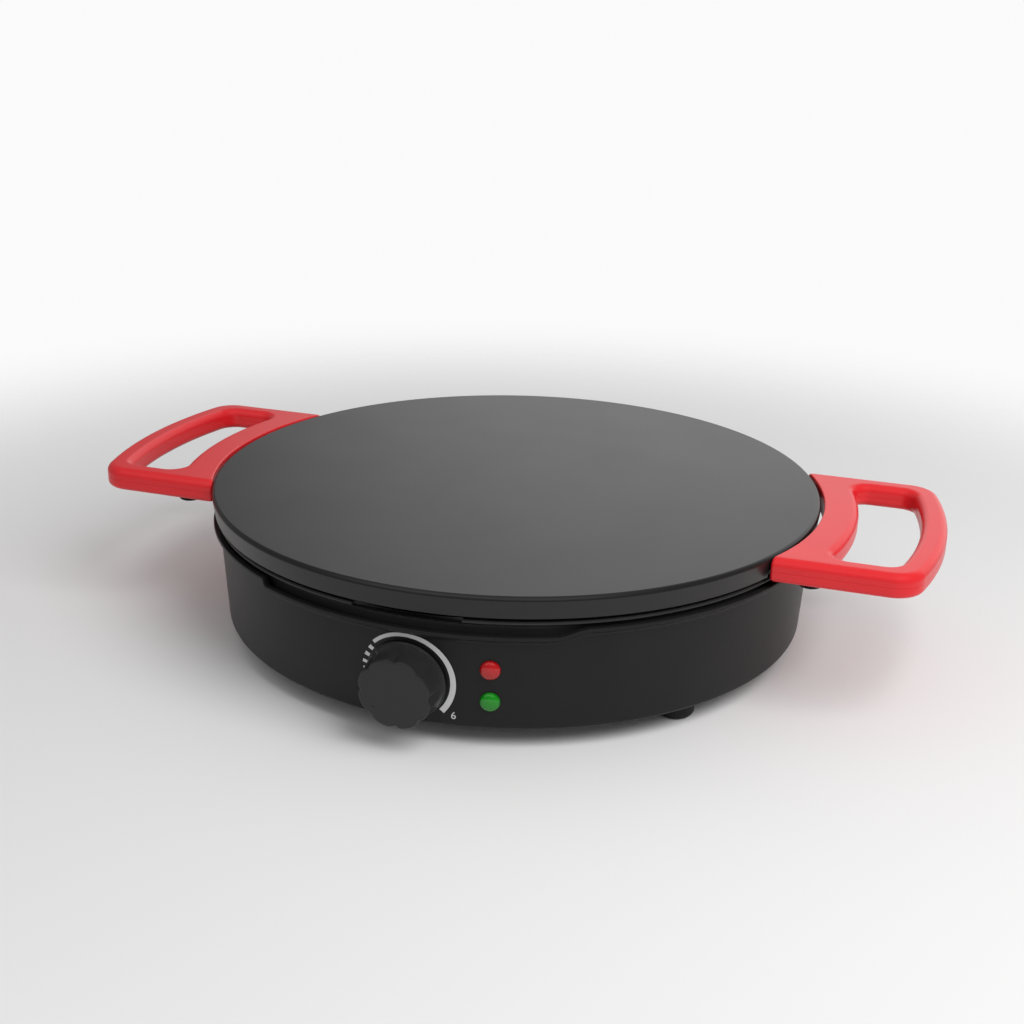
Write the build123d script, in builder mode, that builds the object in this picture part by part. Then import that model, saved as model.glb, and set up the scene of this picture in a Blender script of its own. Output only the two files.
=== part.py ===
from build123d import *
import os
from math import cos, radians, sin, sqrt, tan

os.makedirs("parts", exist_ok=True)

# An electric crepe maker: a griddle plate with two carrying handles, which lifts off a round base.
# Millimetres. Z is up, with zero at the underside of the feet. The plate's axis is the Z axis.
# X runs along the handles and -Y is the front, where the knob is.
# Bearings round the base are in degrees from the front, and grow towards +X.

# Clearances
running_gap = 0.05  # radial, where a shaft turns or slides in its bore
fixed_gap = 0.05  # radial, round screws and spigots that are held
passing_gap = 0.4  # radial, where a lifted piece leaves its seat
slot_gap = 0.5  # round a strap in the slot that it passes through
screw_tip_gap = 0.8  # from a screw's point to the bottom of its hole

# Griddle plate
plate_radius = 160.0
plate_top = 77.4
plate_thickness = 6.0
plate_round = 2.0
skirt_depth = 10.8
skirt_taper = 1.1
skirt_wall = 4.0

# Handles
handle_gap = 0.9  # between the plate's edge and the handle
bridge_width = 18.1  # from the plate side of the handle to the finger hole
finger_width = 30.5  # of the finger hole, away from the plate
grip_width = 12.7
side_bar_width = 12.4
handle_width = 134.8
handle_thickness = 12.0
parting_depth = 6.4  # of the joint between the two shells
handle_corner = 15.0
hole_corner = 8.0
top_round = 4.2
under_round = 2.0
shell_wall = 2.2

# Straps that carry the handles
strap_thickness = 1.5
strap_setback = 32.0  # of its inner edge from the plate's edge
strap_web = 13.0
arm_width = 15.0
arm_side_gap = 0.8  # from the arm to the shell's side wall
arm_tip = 4.5  # of the arm past the handle's screw
handle_screw_setback = 15.0  # from the finger hole's inner arc
handle_screw_inset = 9.0  # from the handle's side
handle_screw_radius = 1.9
handle_screw_head = 6.0
handle_screw_head_height = 2.3
handle_screw_head_round = 1.5
handle_screw_depth = 4.3  # of its hole in the upper shell
strap_screw_radius = 2.0
strap_screw_head = 3.8
strap_screw_head_height = 2.2
strap_screw_head_round = 1.1
strap_screw_depth = 4.0  # of its hole in the plate
strap_boss_radius = 6.0
strap_boss_height = 1.0

# Collar, the ring that the plate's skirt stands over
skirt_to_collar = 2.0
collar_gap = 0.6  # inside the housing's lip
collar_flare = 4.0
collar_sheet = 1.2
collar_flare_height = 3.8
collar_foot_width = 7.8
collar_cut_angle = 9.6
collar_cut_depth = 2.0

# Housing
collar_to_rim = 3.0  # from the collar's top down to the rim's
wall_setback = 3.6  # from the plate's edge to the wall under the lip
rim_overhang = 3.2
rim_height = 1.7
rim_flare = 1.9
wall_draft = 3.2
housing_wall = 2.5
housing_bottom = 9.5
housing_bottom_round = 2.0
notch_depth = 3.5
notch_start_bearing = -29.6
notch_end_bearing = 25.3
notch_ramp_angle = 4.3
shelf_drop = 11.6  # from the lip's top
shelf_thickness = 2.5
shelf_width = 14.4

# Columns of the housing, over the feet and under the plate's pegs
column_bearing = 51.8
column_inset = 17.4  # from the wall under the lip
column_radius = 8.0
cover_boss_bearing = 70.0
cover_boss_inset = 9.4
cover_boss_radius = 5.0

# Bottom cover
cover_recess = 4.5  # of its inner face above the housing's bottom edge
cover_thickness = 2.0
cover_edge_gap = 0.5
cover_screw_radius = 1.5
cover_screw_head = 3.0
cover_screw_head_height = 1.8
cover_screw_depth = 10.0
vent_count = 16
vent_circle_radius = 78.0
vent_length = 34.0
vent_width = 4.0

# Feet
foot_radius = 9.2
foot_round = 3.0
foot_bore_radius = 4.2
foot_bore_depth = 6.0
foot_screw_radius = 2.0
foot_screw_head = 3.7
foot_screw_head_height = 2.4
foot_screw_depth = 12.0

# Pegs that the plate stands on
peg_radius = 6.0
peg_boss_radius = 8.0
peg_boss_height = 6.0
peg_spigot_radius = 4.1
peg_spigot_height = 3.0
peg_spigot_chamfer = 0.75
peg_pin_radius = 2.9
peg_pin_length = 5.0

# Reflector pan and the heat shield below it
pan_sheet = 1.0
pan_drop = 4.0  # from its flange to its floor
pan_edge_gap = 2.3  # inside the collar's neck
pan_flange_width = 24.0
pan_slope = 7.0
pan_screw_inset = 4.7  # from the collar's neck
pan_screw_radius = 1.5
pan_screw_head = 2.9
pan_screw_head_height = 1.6
pan_screw_depth = 8.0
shield_inset = 1.0
shield_sheet = 0.8
shield_drop = 6.0
shield_post_count = 3
shield_post_offset = 1.0  # outward of halfway between the element's rings
shield_post_radius = 4.0
rivet_radius = 1.6
rivet_head = 3.2
rivet_head_height = 0.8

# Heating element, a tube in two rings that turns back on itself
element_radius = 3.3
element_drop = 8.0  # from the plate's underside to the tube's axis
element_inset = 14.0  # from the edge of the pan's floor
element_inner_radius = 60.0
element_bend_radius = 10.0
element_tail = 12.0  # of each leg below the pan's floor
element_start_angle = -75.0
element_turn_angle = 250.0
bush_radius = 5.2
bush_bore = 3.5
bush_rise = 3.0
tab_width = 6.3
tab_thickness = 0.8
tab_length = 9.0
clip_count = 4
clip_width = 7.0
clip_wall = 1.4
clip_bore = 3.5

# Temperature probe in the middle of the pan
probe_radius = 12.0
probe_cap = 2.0
probe_cap_round = 0.6
probe_stem = 5.0
probe_gap = 0.1  # below the plate, at rest
probe_tail = 3.5  # of the stem below the guide
probe_bore = 2.0
guide_radius = 8.5
guide_flange_radius = 14.0
guide_flange = 1.5
guide_rise = 8.0  # above the pan's floor
clip_ring_radius = 7.0
clip_ring_thickness = 0.8
clip_ring_depth = 0.6
spring_wire = 0.5
spring_turns = 6
spring_radius = 6.6

# Knob and thermostat, square to the sloping wall
knob_height = 31.4
knob_back = 0.8
knob_front = 15.5
knob_flange_radius = 19.2
knob_flange_thickness = 2.2
knob_root_radius = 18.2
knob_taper = 4.0
knob_edge_round = 0.6
flute_count = 8
flute_radius = 3.0
flute_circle_radius = 19.1
flute_start = 5.0
knob_wall = 1.9
knob_hub_radius = 6.2
knob_face = 2.4
knob_recess_radius = 7.0
knob_recess_depth = 3.0
pointer_radius = 1.1
pointer_circle_radius = 11.3
pointer_bearing = 210.0
pointer_depth = 0.4
spindle_radius = 3.0
spindle_end = 12.4
spindle_tail = 15.5
spindle_flat = 2.0
knob_clip_thickness = 0.6
knob_clip_width = 2.2
knob_clip_length = 7.0
thermostat_width = 34.0
thermostat_height = 28.0
thermostat_depth = 18.0
thermostat_corner = 2.0
thermostat_tab_pitch = 17.0
thermostat_pad = 3.9
thermostat_pad_radius = 7.5
bush_outer = 4.5
bush_end = 1.6
thermostat_screw_offset = 11.5
thermostat_screw_radius = 2.0
thermostat_screw_head = 3.6
thermostat_screw_length = 10.0
thermostat_screw_sink = 0.6  # of the heads below the wall's surface
capillary_radius = 1.0
capillary_drop = 5.0
capillary_first_run = 22.0
capillary_cross_run = 26.0
capillary_side_run = 40.0
capillary_sweep = 18.0
capillary_bend_radius = 9.0
capillary_rise = 12.0  # into the probe's stem

# Pilot lamps
lamp_bearing = 14.2
red_lamp_rise = 8.8  # above the knob's axis
green_lamp_drop = 7.3
lens_radius = 4.85
lens_rise = 2.6
lens_flange = 0.7
lens_neck_radius = 4.1
lens_neck_length = 5.0
lamp_radius = 3.6
lamp_length = 14.0
lamp_tip_round = 1.8

# Cord gland at the back, and the terminal block inside
gland_height = 25.0
gland_bore = 3.6
gland_neck_radius = 6.5
gland_flange_radius = 10.0
gland_flange = 3.0
gland_nose = 13.0
gland_nose_radius = 7.0
gland_taper = 5.0
gland_round = 1.0
gland_inside = 11.0
gland_nut_radius = 10.5
gland_nut_thickness = 4.0
block_length = 42.0
block_width = 18.0
block_height = 15.0
block_corner = 2.0
block_inset = 58.4  # of its middle, from the wall's rim
block_poles = 3
block_pitch = 12.0
block_hole = 2.4
block_well_depth = 7.5
block_screw_head = 2.3
block_screw_height = 5.0
fuse_radius = 2.0
fuse_length = 16.0
fuse_x = -52.0
fuse_y = 34.0
fuse_clip_width = 6.0
fuse_clip_length = 12.0
fuse_clip_sheet = 0.8

# Levels, radii and places worked out from the values above
plate_under = plate_top - plate_thickness
skirt_bottom = plate_top - skirt_depth
skirt_inner = plate_radius - skirt_wall
strap_top = plate_under - strap_boss_height
strap_bottom = strap_top - strap_thickness
handle_inner = plate_radius + handle_gap
hole_inner = handle_inner + bridge_width
hole_outer = hole_inner + finger_width
handle_outer = hole_outer + grip_width
hole_width = handle_width - 2 * side_bar_width
parting_level = plate_top - parting_depth
handle_bottom = plate_top - handle_thickness
handle_screw_x = hole_inner - handle_screw_setback
handle_screw_y = handle_width / 2 - handle_screw_inset
strap_inner = plate_radius - strap_setback
strap_screw_x = strap_inner + strap_web / 2
arm_outer = handle_width / 2 - shell_wall - arm_side_gap
arm_centre = arm_outer - arm_width / 2
arm_reach = handle_screw_x + arm_tip
collar_top = skirt_bottom - skirt_to_collar
rim_top = collar_top - collar_to_rim
wall_radius_at_rim = plate_radius - wall_setback
rim_radius = wall_radius_at_rim + rim_overhang
collar_neck_radius = wall_radius_at_rim - housing_wall - collar_gap
collar_top_radius = collar_neck_radius + collar_flare
collar_foot_radius = collar_neck_radius - collar_foot_width
column_circle_radius = wall_radius_at_rim - column_inset
cover_boss_circle_radius = wall_radius_at_rim - cover_boss_inset
shelf_top = rim_top - shelf_drop
shelf_inner = wall_radius_at_rim - shelf_width
cover_seat = housing_bottom + cover_recess
cover_bottom = cover_seat - cover_thickness
peg_top = plate_under - peg_boss_height
pan_flange_top = shelf_top + pan_sheet
pan_floor = shelf_top - pan_drop
pan_radius = collar_neck_radius - pan_edge_gap
pan_flange_inner = pan_radius - pan_flange_width
pan_floor_radius = pan_flange_inner - pan_slope
pan_screw_circle_radius = collar_neck_radius - pan_screw_inset
shield_top = pan_floor - shield_drop
shield_radius = pan_floor_radius - shield_inset
element_height = plate_under - element_drop
element_outer_radius = pan_floor_radius - element_inset
shield_post_circle_radius = (element_inner_radius + element_outer_radius) / 2 + shield_post_offset
element_leg_end = pan_floor - element_tail
probe_top = plate_under - probe_gap
guide_bottom = pan_floor - guide_flange
guide_top = pan_floor + guide_rise
probe_stem_end = guide_bottom - probe_tail
red_lamp_height = knob_height + red_lamp_rise
green_lamp_height = knob_height - green_lamp_drop
block_y = wall_radius_at_rim - block_inset


def wall_radius(height):
    """Outer radius of the housing's sloping wall at a height."""
    return wall_radius_at_rim - (rim_top - rim_height - rim_flare - height) * tan(radians(wall_draft))


def bearing_point(bearing, radius, height=0.0):
    """Point at a bearing from the front and a radius from the plate's axis."""
    return Vector(radius * sin(radians(bearing)), -radius * cos(radians(bearing)), height)


def bearing_points(bearings, radius):
    """Places at several bearings on one circle."""
    points = [bearing_point(bearing, radius) for bearing in bearings]
    return [(point.X, point.Y) for point in points]


def section_plane(bearing):
    """Upright plane through the plate's axis: its x is the radius and its y is the height."""
    outward = bearing_point(bearing, 1)
    return Plane(origin=(0, 0, 0), x_dir=outward, z_dir=outward.cross(Vector(0, 0, 1)))


def wall_plane(bearing, height):
    """Plane that touches the outside of the wall, with its z pointing outward."""
    draft = radians(wall_draft)
    outward = bearing_point(bearing, cos(draft), -sin(draft))
    side = Vector(cos(radians(bearing)), sin(radians(bearing)), 0)
    return Plane(origin=bearing_point(bearing, wall_radius(height), height), x_dir=side, z_dir=outward)


def save(piece, name):
    """Label one finished sub-part and write it to its own file."""
    piece.label = name
    export_step(piece, f"parts/{name}.step")


column_bearings = [column_bearing, 180 - column_bearing, 180 + column_bearing, -column_bearing]
column_points = bearing_points(column_bearings, column_circle_radius)
cover_boss_bearings = [
    cover_boss_bearing,
    180 - cover_boss_bearing,
    180 + cover_boss_bearing,
    -cover_boss_bearing,
]
cover_boss_points = bearing_points(cover_boss_bearings, cover_boss_circle_radius)
pan_screw_points = bearing_points(cover_boss_bearings, pan_screw_circle_radius)
strap_screw_points = [
    (side * strap_screw_x, end * arm_centre) for side in (1, -1) for end in (1, -1)
]
handle_screw_points = [
    (side * handle_screw_x, end * handle_screw_y) for side in (1, -1) for end in (1, -1)
]
knob_plane = wall_plane(0, knob_height)
gland_plane = wall_plane(180, gland_height)

# Griddle plate: a disc with a turned-down skirt. Bosses under it take the straps' screws and stand
# on the pegs, and slots in the skirt let the handle straps out.
with BuildPart() as griddle_plate:
    with BuildSketch(Plane.XZ):
        with BuildLine():
            Polyline(
                (0, plate_under),
                (0, plate_top),
                (plate_radius, plate_top),
                (plate_radius - skirt_taper, skirt_bottom),
                (skirt_inner - skirt_taper, skirt_bottom),
                (skirt_inner, plate_under),
                close=True,
            )
        make_face()
    revolve(axis=Axis.Z)
    fillet(griddle_plate.edges().group_by(Axis.Z)[-1], plate_round)
    with BuildSketch(Plane.XY.offset(peg_top)):
        with Locations(*column_points):
            Circle(peg_boss_radius)
    extrude(amount=peg_boss_height + plate_thickness / 2)
    with BuildSketch(Plane.XY.offset(peg_top)):
        with Locations(*column_points):
            Circle(peg_spigot_radius + passing_gap)
    extrude(amount=peg_spigot_height + passing_gap, mode=Mode.SUBTRACT)
    with BuildSketch(Plane.XY.offset(strap_top)):
        with Locations(*strap_screw_points):
            Circle(strap_boss_radius)
    extrude(amount=strap_boss_height + plate_thickness / 2)
    with BuildSketch(Plane.XY.offset(strap_top)):
        with Locations(*strap_screw_points):
            Circle(strap_screw_radius + fixed_gap)
    extrude(amount=strap_screw_depth, mode=Mode.SUBTRACT)
    with BuildSketch(Plane.XY.offset(skirt_bottom)):
        for end in (1, -1):
            with Locations((0, end * arm_centre)):
                Rectangle(2 * plate_radius, arm_width + 2 * slot_gap)
        Circle(strap_inner, mode=Mode.SUBTRACT)
    extrude(amount=strap_top - skirt_bottom, mode=Mode.SUBTRACT)
save(griddle_plate.part, "griddle_plate")


def handle_outline(inner, outer, width, inset=0.0):
    """D-shaped tongue between two arcs about the plate's axis, moved in by an inset."""
    far_side = Location((0, 0, 0), (0, 0, 180))  # where the circles start, to keep the arcs whole
    with BuildSketch(Plane.XY) as outline:
        with Locations(far_side):
            Circle(outer - inset)
        with Locations((outer, 0)):
            Rectangle(2 * outer, width - 2 * inset, mode=Mode.INTERSECT)
        with Locations(far_side):
            Circle(inner + inset, mode=Mode.SUBTRACT)
    return outline.sketch


def ring_outline(inset=0.0):
    """The handle seen from above, with its finger hole, moved in by an inset all round."""
    with BuildSketch(Plane.XY) as ring:
        add(handle_outline(handle_inner, handle_outer, handle_width, inset))
        fillet(ring.vertices().group_by(Axis.X)[-1], handle_corner - inset)
        with BuildSketch(Plane.XY, mode=Mode.SUBTRACT) as hole:
            add(handle_outline(hole_inner, hole_outer, hole_width, -inset))
            fillet(hole.vertices(), hole_corner + inset)
    return ring.sketch


level_margin = 0.01  # for picking the edges at a level


def grip_edges(part, level):
    """Edges at one level, apart from the one that faces the plate."""
    return [
        edge
        for edge in part.edges().filter_by_position(Axis.Z, level - level_margin, level + level_margin)
        if not (edge.geom_type == GeomType.CIRCLE and abs(edge.radius - handle_inner) < shell_wall)
    ]


# Handles: an upper and a lower shell, hollow, closed on each other at the parting line.
screw_pair = [(handle_screw_x, handle_screw_y), (handle_screw_x, -handle_screw_y)]
slot_reach = handle_inner - shell_wall
with BuildPart() as handle_top:
    with BuildSketch(Plane.XY.offset(parting_level)):
        add(ring_outline())
    extrude(amount=parting_depth)
    fillet(grip_edges(handle_top, plate_top), top_round)
    with BuildSketch(Plane.XY.offset(parting_level)):
        add(ring_outline(shell_wall))
    extrude(amount=parting_depth - shell_wall, mode=Mode.SUBTRACT)
    with BuildSketch(Plane.XY.offset(parting_level)):
        with Locations(*screw_pair):
            Circle(handle_screw_radius + shell_wall)
    extrude(amount=parting_depth - shell_wall / 2)
    with BuildSketch(Plane.XY.offset(parting_level)):
        with Locations(*screw_pair):
            Circle(handle_screw_radius + fixed_gap)
    extrude(amount=handle_screw_depth, mode=Mode.SUBTRACT)

with BuildPart() as handle_lower:
    with BuildSketch(Plane.XY.offset(handle_bottom)):
        add(ring_outline())
    extrude(amount=handle_thickness - parting_depth)
    fillet(grip_edges(handle_lower, handle_bottom), under_round)
    with BuildSketch(Plane.XY.offset(handle_bottom + shell_wall)):
        add(ring_outline(shell_wall))
    extrude(amount=handle_thickness - parting_depth, mode=Mode.SUBTRACT)
    with BuildSketch(Plane.XY.offset(handle_bottom)):
        with Locations(*screw_pair):
            Circle(handle_screw_radius + shell_wall)
    extrude(amount=strap_bottom - fixed_gap - handle_bottom)
    with BuildSketch(Plane.XY.offset(handle_bottom)):
        with Locations(*screw_pair):
            Circle(handle_screw_radius + fixed_gap)
    extrude(amount=handle_thickness, mode=Mode.SUBTRACT)
    with BuildSketch(Plane.XY.offset(strap_bottom)):
        for end in (1, -1):
            with Locations((slot_reach / 2, end * arm_centre)):
                Rectangle(slot_reach, arm_width + 2 * slot_gap)
    extrude(amount=2 * strap_thickness, mode=Mode.SUBTRACT)

# Handle strap: flat steel with two arms, screwed under the plate and clamped between the shells.
with BuildPart() as handle_strap:
    with BuildSketch(Plane.XY.offset(strap_bottom)):
        with Locations((strap_inner + strap_web / 2, 0)):
            Rectangle(strap_web, 2 * arm_outer)
        for end in (1, -1):
            with Locations(((strap_inner + arm_reach) / 2, end * arm_centre)):
                Rectangle(arm_reach - strap_inner, arm_width)
        with Locations((strap_screw_x, arm_centre), (strap_screw_x, -arm_centre)):
            Circle(strap_screw_radius + fixed_gap, mode=Mode.SUBTRACT)
        with Locations(*screw_pair):
            Circle(handle_screw_radius + fixed_gap, mode=Mode.SUBTRACT)
    extrude(amount=strap_thickness)

for piece, name in (
    (handle_top, "handle_top"),
    (handle_lower, "handle_bottom"),
    (handle_strap, "handle_bracket"),
):
    save(piece.part, f"{name}_right")
    save(piece.part.mirror(Plane.YZ), f"{name}_left")

# Screws under the handles, from the lower shell through the strap into the upper shell.
with BuildPart() as handle_screws:
    with BuildSketch(Plane.XY.offset(handle_bottom - handle_screw_head_height)):
        with Locations(*handle_screw_points):
            Circle(handle_screw_head)
    extrude(amount=handle_screw_head_height)
    fillet(handle_screws.edges().group_by(Axis.Z)[0], handle_screw_head_round)
    with BuildSketch(Plane.XY.offset(handle_bottom)):
        with Locations(*handle_screw_points):
            Circle(handle_screw_radius)
    extrude(amount=handle_thickness - parting_depth + handle_screw_depth - screw_tip_gap)
save(handle_screws.part, "handle_screws")

# Screws that hold the straps to the plate's bosses.
with BuildPart() as bracket_screws:
    with BuildSketch(Plane.XY.offset(strap_bottom - strap_screw_head_height)):
        with Locations(*strap_screw_points):
            Circle(strap_screw_head)
    extrude(amount=strap_screw_head_height)
    fillet(bracket_screws.edges().group_by(Axis.Z)[0], strap_screw_head_round)
    with BuildSketch(Plane.XY.offset(strap_bottom)):
        with Locations(*strap_screw_points):
            Circle(strap_screw_radius)
    extrude(amount=strap_thickness + strap_screw_depth - screw_tip_gap)
save(bracket_screws.part, "bracket_screws")


def wall_outline(bearing, base, level):
    """Section of the housing's wall from a base up to its flared lip, which ends at a level."""
    flare_bottom = level - rim_height - rim_flare
    neck = wall_radius(flare_bottom)
    with BuildSketch(section_plane(bearing)) as section:
        with BuildLine():
            Polyline(
                (wall_radius(base) - housing_wall, base),
                (wall_radius(base), base),
                (neck, flare_bottom),
                (rim_radius, level - rim_height),
                (rim_radius, level - rim_height / 4),
                (rim_radius - rim_height / 3, level),
                (rim_radius - housing_wall, level),
                (neck - housing_wall, flare_bottom),
                close=True,
            )
        make_face()
    return section.sketch


def lip_outline(bearing, level):
    """Section of the lip alone, rooted in the middle of the wall, with its top at a level."""
    flare_bottom = level - rim_height - rim_flare
    middle = wall_radius(flare_bottom) - housing_wall / 2
    with BuildSketch(section_plane(bearing)) as section:
        with BuildLine():
            Polyline(
                (middle, flare_bottom - rim_flare / 2),
                (rim_radius, level - rim_height),
                (rim_radius, level - rim_height / 4),
                (rim_radius - rim_height / 3, level),
                (middle, level),
                close=True,
            )
        make_face()
    return section.sketch


def notch_outline(bearing, level):
    """Section of what the notch takes off the wall, for a lip whose top is at a level."""
    with BuildSketch(section_plane(bearing)) as section:
        with Locations((rim_radius, level - rim_height / 2)):
            Rectangle(8 * housing_wall, 2 * notch_depth, align=(Align.CENTER, Align.MIN))
    return section.sketch


# Housing: a round shell with a sloping wall. Its lip drops at the front, with a steep end on the
# left and a ramp on the right. Inside are the shelf, the columns and the pads.
notch_low = rim_top - notch_depth
ramp_end = notch_end_bearing + notch_ramp_angle
with BuildPart() as housing:
    add(wall_outline(0, housing_bottom, rim_top))
    revolve(axis=Axis.Z)
    outer_bottom = housing.edges().group_by(Axis.Z)[0].sort_by(SortBy.RADIUS)[-1]
    fillet(outer_bottom, housing_bottom_round)
    add(notch_outline(notch_start_bearing, notch_low))
    revolve(axis=Axis.Z, revolution_arc=notch_end_bearing - notch_start_bearing, mode=Mode.SUBTRACT)
    add(notch_outline(notch_end_bearing, notch_low))
    add(notch_outline(ramp_end, rim_top))
    loft(ruled=True, mode=Mode.SUBTRACT)
    add(lip_outline(notch_start_bearing, notch_low))
    revolve(axis=Axis.Z, revolution_arc=notch_end_bearing - notch_start_bearing)
    add(lip_outline(notch_end_bearing, notch_low))
    add(lip_outline(ramp_end, rim_top))
    loft(ruled=True)
    with BuildSketch(Plane.XY.offset(shelf_top)):
        Circle(wall_radius(shelf_top) - housing_wall / 2)
        Circle(shelf_inner, mode=Mode.SUBTRACT)
    extrude(amount=-shelf_thickness)
    with BuildSketch(Plane.XY.offset(cover_seat)):
        with Locations(*column_points):
            Circle(column_radius)
        with Locations(*cover_boss_points):
            Circle(cover_boss_radius)
    extrude(amount=shelf_top - cover_seat)
    with BuildSketch(Plane.XY.offset(cover_seat)):
        with Locations(*column_points):
            Circle(foot_screw_radius + fixed_gap)
    extrude(amount=foot_screw_depth, mode=Mode.SUBTRACT)
    with BuildSketch(Plane.XY.offset(cover_seat)):
        with Locations(*cover_boss_points):
            Circle(cover_screw_radius + fixed_gap)
    extrude(amount=cover_screw_depth, mode=Mode.SUBTRACT)
    with BuildSketch(Plane.XY.offset(shelf_top)):
        with Locations(*column_points):
            Circle(peg_pin_radius + fixed_gap)
    extrude(amount=-peg_pin_length, mode=Mode.SUBTRACT)
    with BuildSketch(Plane.XY.offset(shelf_top)):
        with Locations(*pan_screw_points):
            Circle(pan_screw_radius + fixed_gap)
    extrude(amount=-pan_screw_depth, mode=Mode.SUBTRACT)
    with BuildSketch(knob_plane.offset(-housing_wall / 2)):
        with Locations((0, 0), (thermostat_screw_offset, 0), (-thermostat_screw_offset, 0)):
            Circle(thermostat_pad_radius)
    extrude(amount=housing_wall / 2 - thermostat_pad)
    with BuildSketch(knob_plane.offset(-2 * thermostat_pad)):
        Circle(bush_outer + fixed_gap)
        with Locations((thermostat_screw_offset, 0), (-thermostat_screw_offset, 0)):
            Circle(thermostat_screw_radius + fixed_gap)
    extrude(amount=4 * thermostat_pad, mode=Mode.SUBTRACT)
    with BuildSketch(knob_plane.offset(-thermostat_screw_sink)):
        with Locations((thermostat_screw_offset, 0), (-thermostat_screw_offset, 0)):
            Circle(thermostat_screw_head + fixed_gap)
    extrude(amount=thermostat_screw_radius - thermostat_screw_head, taper=45, mode=Mode.SUBTRACT)
    with BuildSketch(knob_plane.offset(-thermostat_screw_sink)):
        with Locations((thermostat_screw_offset, 0), (-thermostat_screw_offset, 0)):
            Circle(thermostat_screw_head + fixed_gap)
    extrude(amount=2 * thermostat_screw_sink, mode=Mode.SUBTRACT)
    for lamp_height in (red_lamp_height, green_lamp_height):
        with BuildSketch(wall_plane(lamp_bearing, lamp_height).offset(-2 * housing_wall)):
            Circle(lens_neck_radius + fixed_gap)
        extrude(amount=3 * housing_wall, mode=Mode.SUBTRACT)
    with BuildSketch(gland_plane.offset(-2 * housing_wall)):
        Circle(gland_neck_radius + fixed_gap)
    extrude(amount=3 * housing_wall, mode=Mode.SUBTRACT)
save(housing.part, "housing")

# Collar: a flared ring of sheet on the pan's flange, cut down over the knob.
with BuildPart() as collar:
    with BuildSketch(Plane.XZ):
        with BuildLine():
            Polyline(
                (collar_foot_radius, pan_flange_top),
                (collar_neck_radius, pan_flange_top),
                (collar_neck_radius, collar_top - collar_flare_height),
                (collar_top_radius, collar_top - collar_sheet),
                (collar_top_radius, collar_top - collar_sheet / 2),
                (collar_top_radius - collar_sheet / 2, collar_top),
                (collar_top_radius - 2 * collar_sheet, collar_top),
                (collar_neck_radius - collar_sheet, collar_top - collar_flare_height / 2),
                (collar_neck_radius - collar_sheet, pan_flange_top + collar_sheet),
                (collar_foot_radius, pan_flange_top + collar_sheet),
                close=True,
            )
        make_face()
    revolve(axis=Axis.Z)
    with BuildSketch(Plane.XY.offset(collar_top - collar_cut_depth)):
        with Locations((0, -collar_top_radius)):
            Rectangle(2 * collar_top_radius * sin(radians(collar_cut_angle)), 8 * collar_sheet)
    extrude(amount=2 * collar_cut_depth, mode=Mode.SUBTRACT)
    with BuildSketch(Plane.XY.offset(pan_flange_top)):
        with Locations(*pan_screw_points):
            Circle(pan_screw_radius + fixed_gap)
    extrude(amount=collar_sheet, mode=Mode.SUBTRACT)
save(collar.part, "collar")


def element_point(angle, radius, level=element_height):
    """Point on one of the element's rings."""
    return Vector(radius * cos(radians(angle)), radius * sin(radians(angle)), level)


def element_way(angle):
    """Direction of a ring at an angle, anticlockwise."""
    return Vector(-sin(radians(angle)), cos(radians(angle)), 0)


def leg_arc(ring_end, way):
    """The top of a leg, its bend's middle and the ring's end, for a leg that comes up along a way."""
    foot = ring_end - way * element_bend_radius - Vector(0, 0, element_bend_radius)
    slant = element_bend_radius * cos(radians(45))
    middle = foot + way * (element_bend_radius - slant) + Vector(0, 0, slant)
    return foot, middle


outer_start = element_point(element_start_angle, element_outer_radius)
inner_start = element_point(element_start_angle, element_inner_radius)
outer_leg, outer_bend = leg_arc(outer_start, element_way(element_start_angle))
inner_leg, inner_bend = leg_arc(inner_start, element_way(element_start_angle))
ring_middle = (element_start_angle + element_turn_angle) / 2
turn_radius = (element_outer_radius - element_inner_radius) / 2
turn_middle = element_point(element_turn_angle, element_inner_radius + turn_radius)
turn_top = turn_middle + element_way(element_turn_angle) * turn_radius
outer_foot = Vector(outer_leg.X, outer_leg.Y, element_leg_end)
inner_foot = Vector(inner_leg.X, inner_leg.Y, element_leg_end)
leg_points = [(outer_leg.X, outer_leg.Y), (inner_leg.X, inner_leg.Y)]

# Heating element: up one leg, round the outer ring, back round the inner ring and down.
with BuildPart() as heating_element:
    with BuildLine() as element_path:
        Line(outer_foot, outer_leg)
        ThreePointArc(outer_leg, outer_bend, outer_start)
        ThreePointArc(
            outer_start,
            element_point(ring_middle, element_outer_radius),
            element_point(element_turn_angle, element_outer_radius),
        )
        ThreePointArc(
            element_point(element_turn_angle, element_outer_radius),
            turn_top,
            element_point(element_turn_angle, element_inner_radius),
        )
        ThreePointArc(
            element_point(element_turn_angle, element_inner_radius),
            element_point(ring_middle, element_inner_radius),
            inner_start,
        )
        ThreePointArc(inner_start, inner_bend, inner_leg)
        Line(inner_leg, inner_foot)
    with BuildSketch(Plane(origin=outer_foot, z_dir=(0, 0, 1))):
        Circle(element_radius)
    sweep()
save(heating_element.part, "heating_element")

# Tabs on the element's ends, for its push-on terminals.
with BuildPart() as element_tabs:
    with BuildSketch(Plane.XY.offset(element_leg_end - tab_length)):
        with Locations(*leg_points):
            Rectangle(tab_width, tab_thickness)
    extrude(amount=tab_length)
save(element_tabs.part, "element_tabs")

# Bushes that carry the element's legs through the pan.
with BuildPart() as element_bushes:
    with BuildSketch(Plane.XY.offset(pan_floor - bush_rise)):
        with Locations(*leg_points):
            Circle(bush_radius)
            Circle(bush_bore, mode=Mode.SUBTRACT)
    extrude(amount=2 * bush_rise + pan_sheet)
save(element_bushes.part, "element_bushes")

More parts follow.
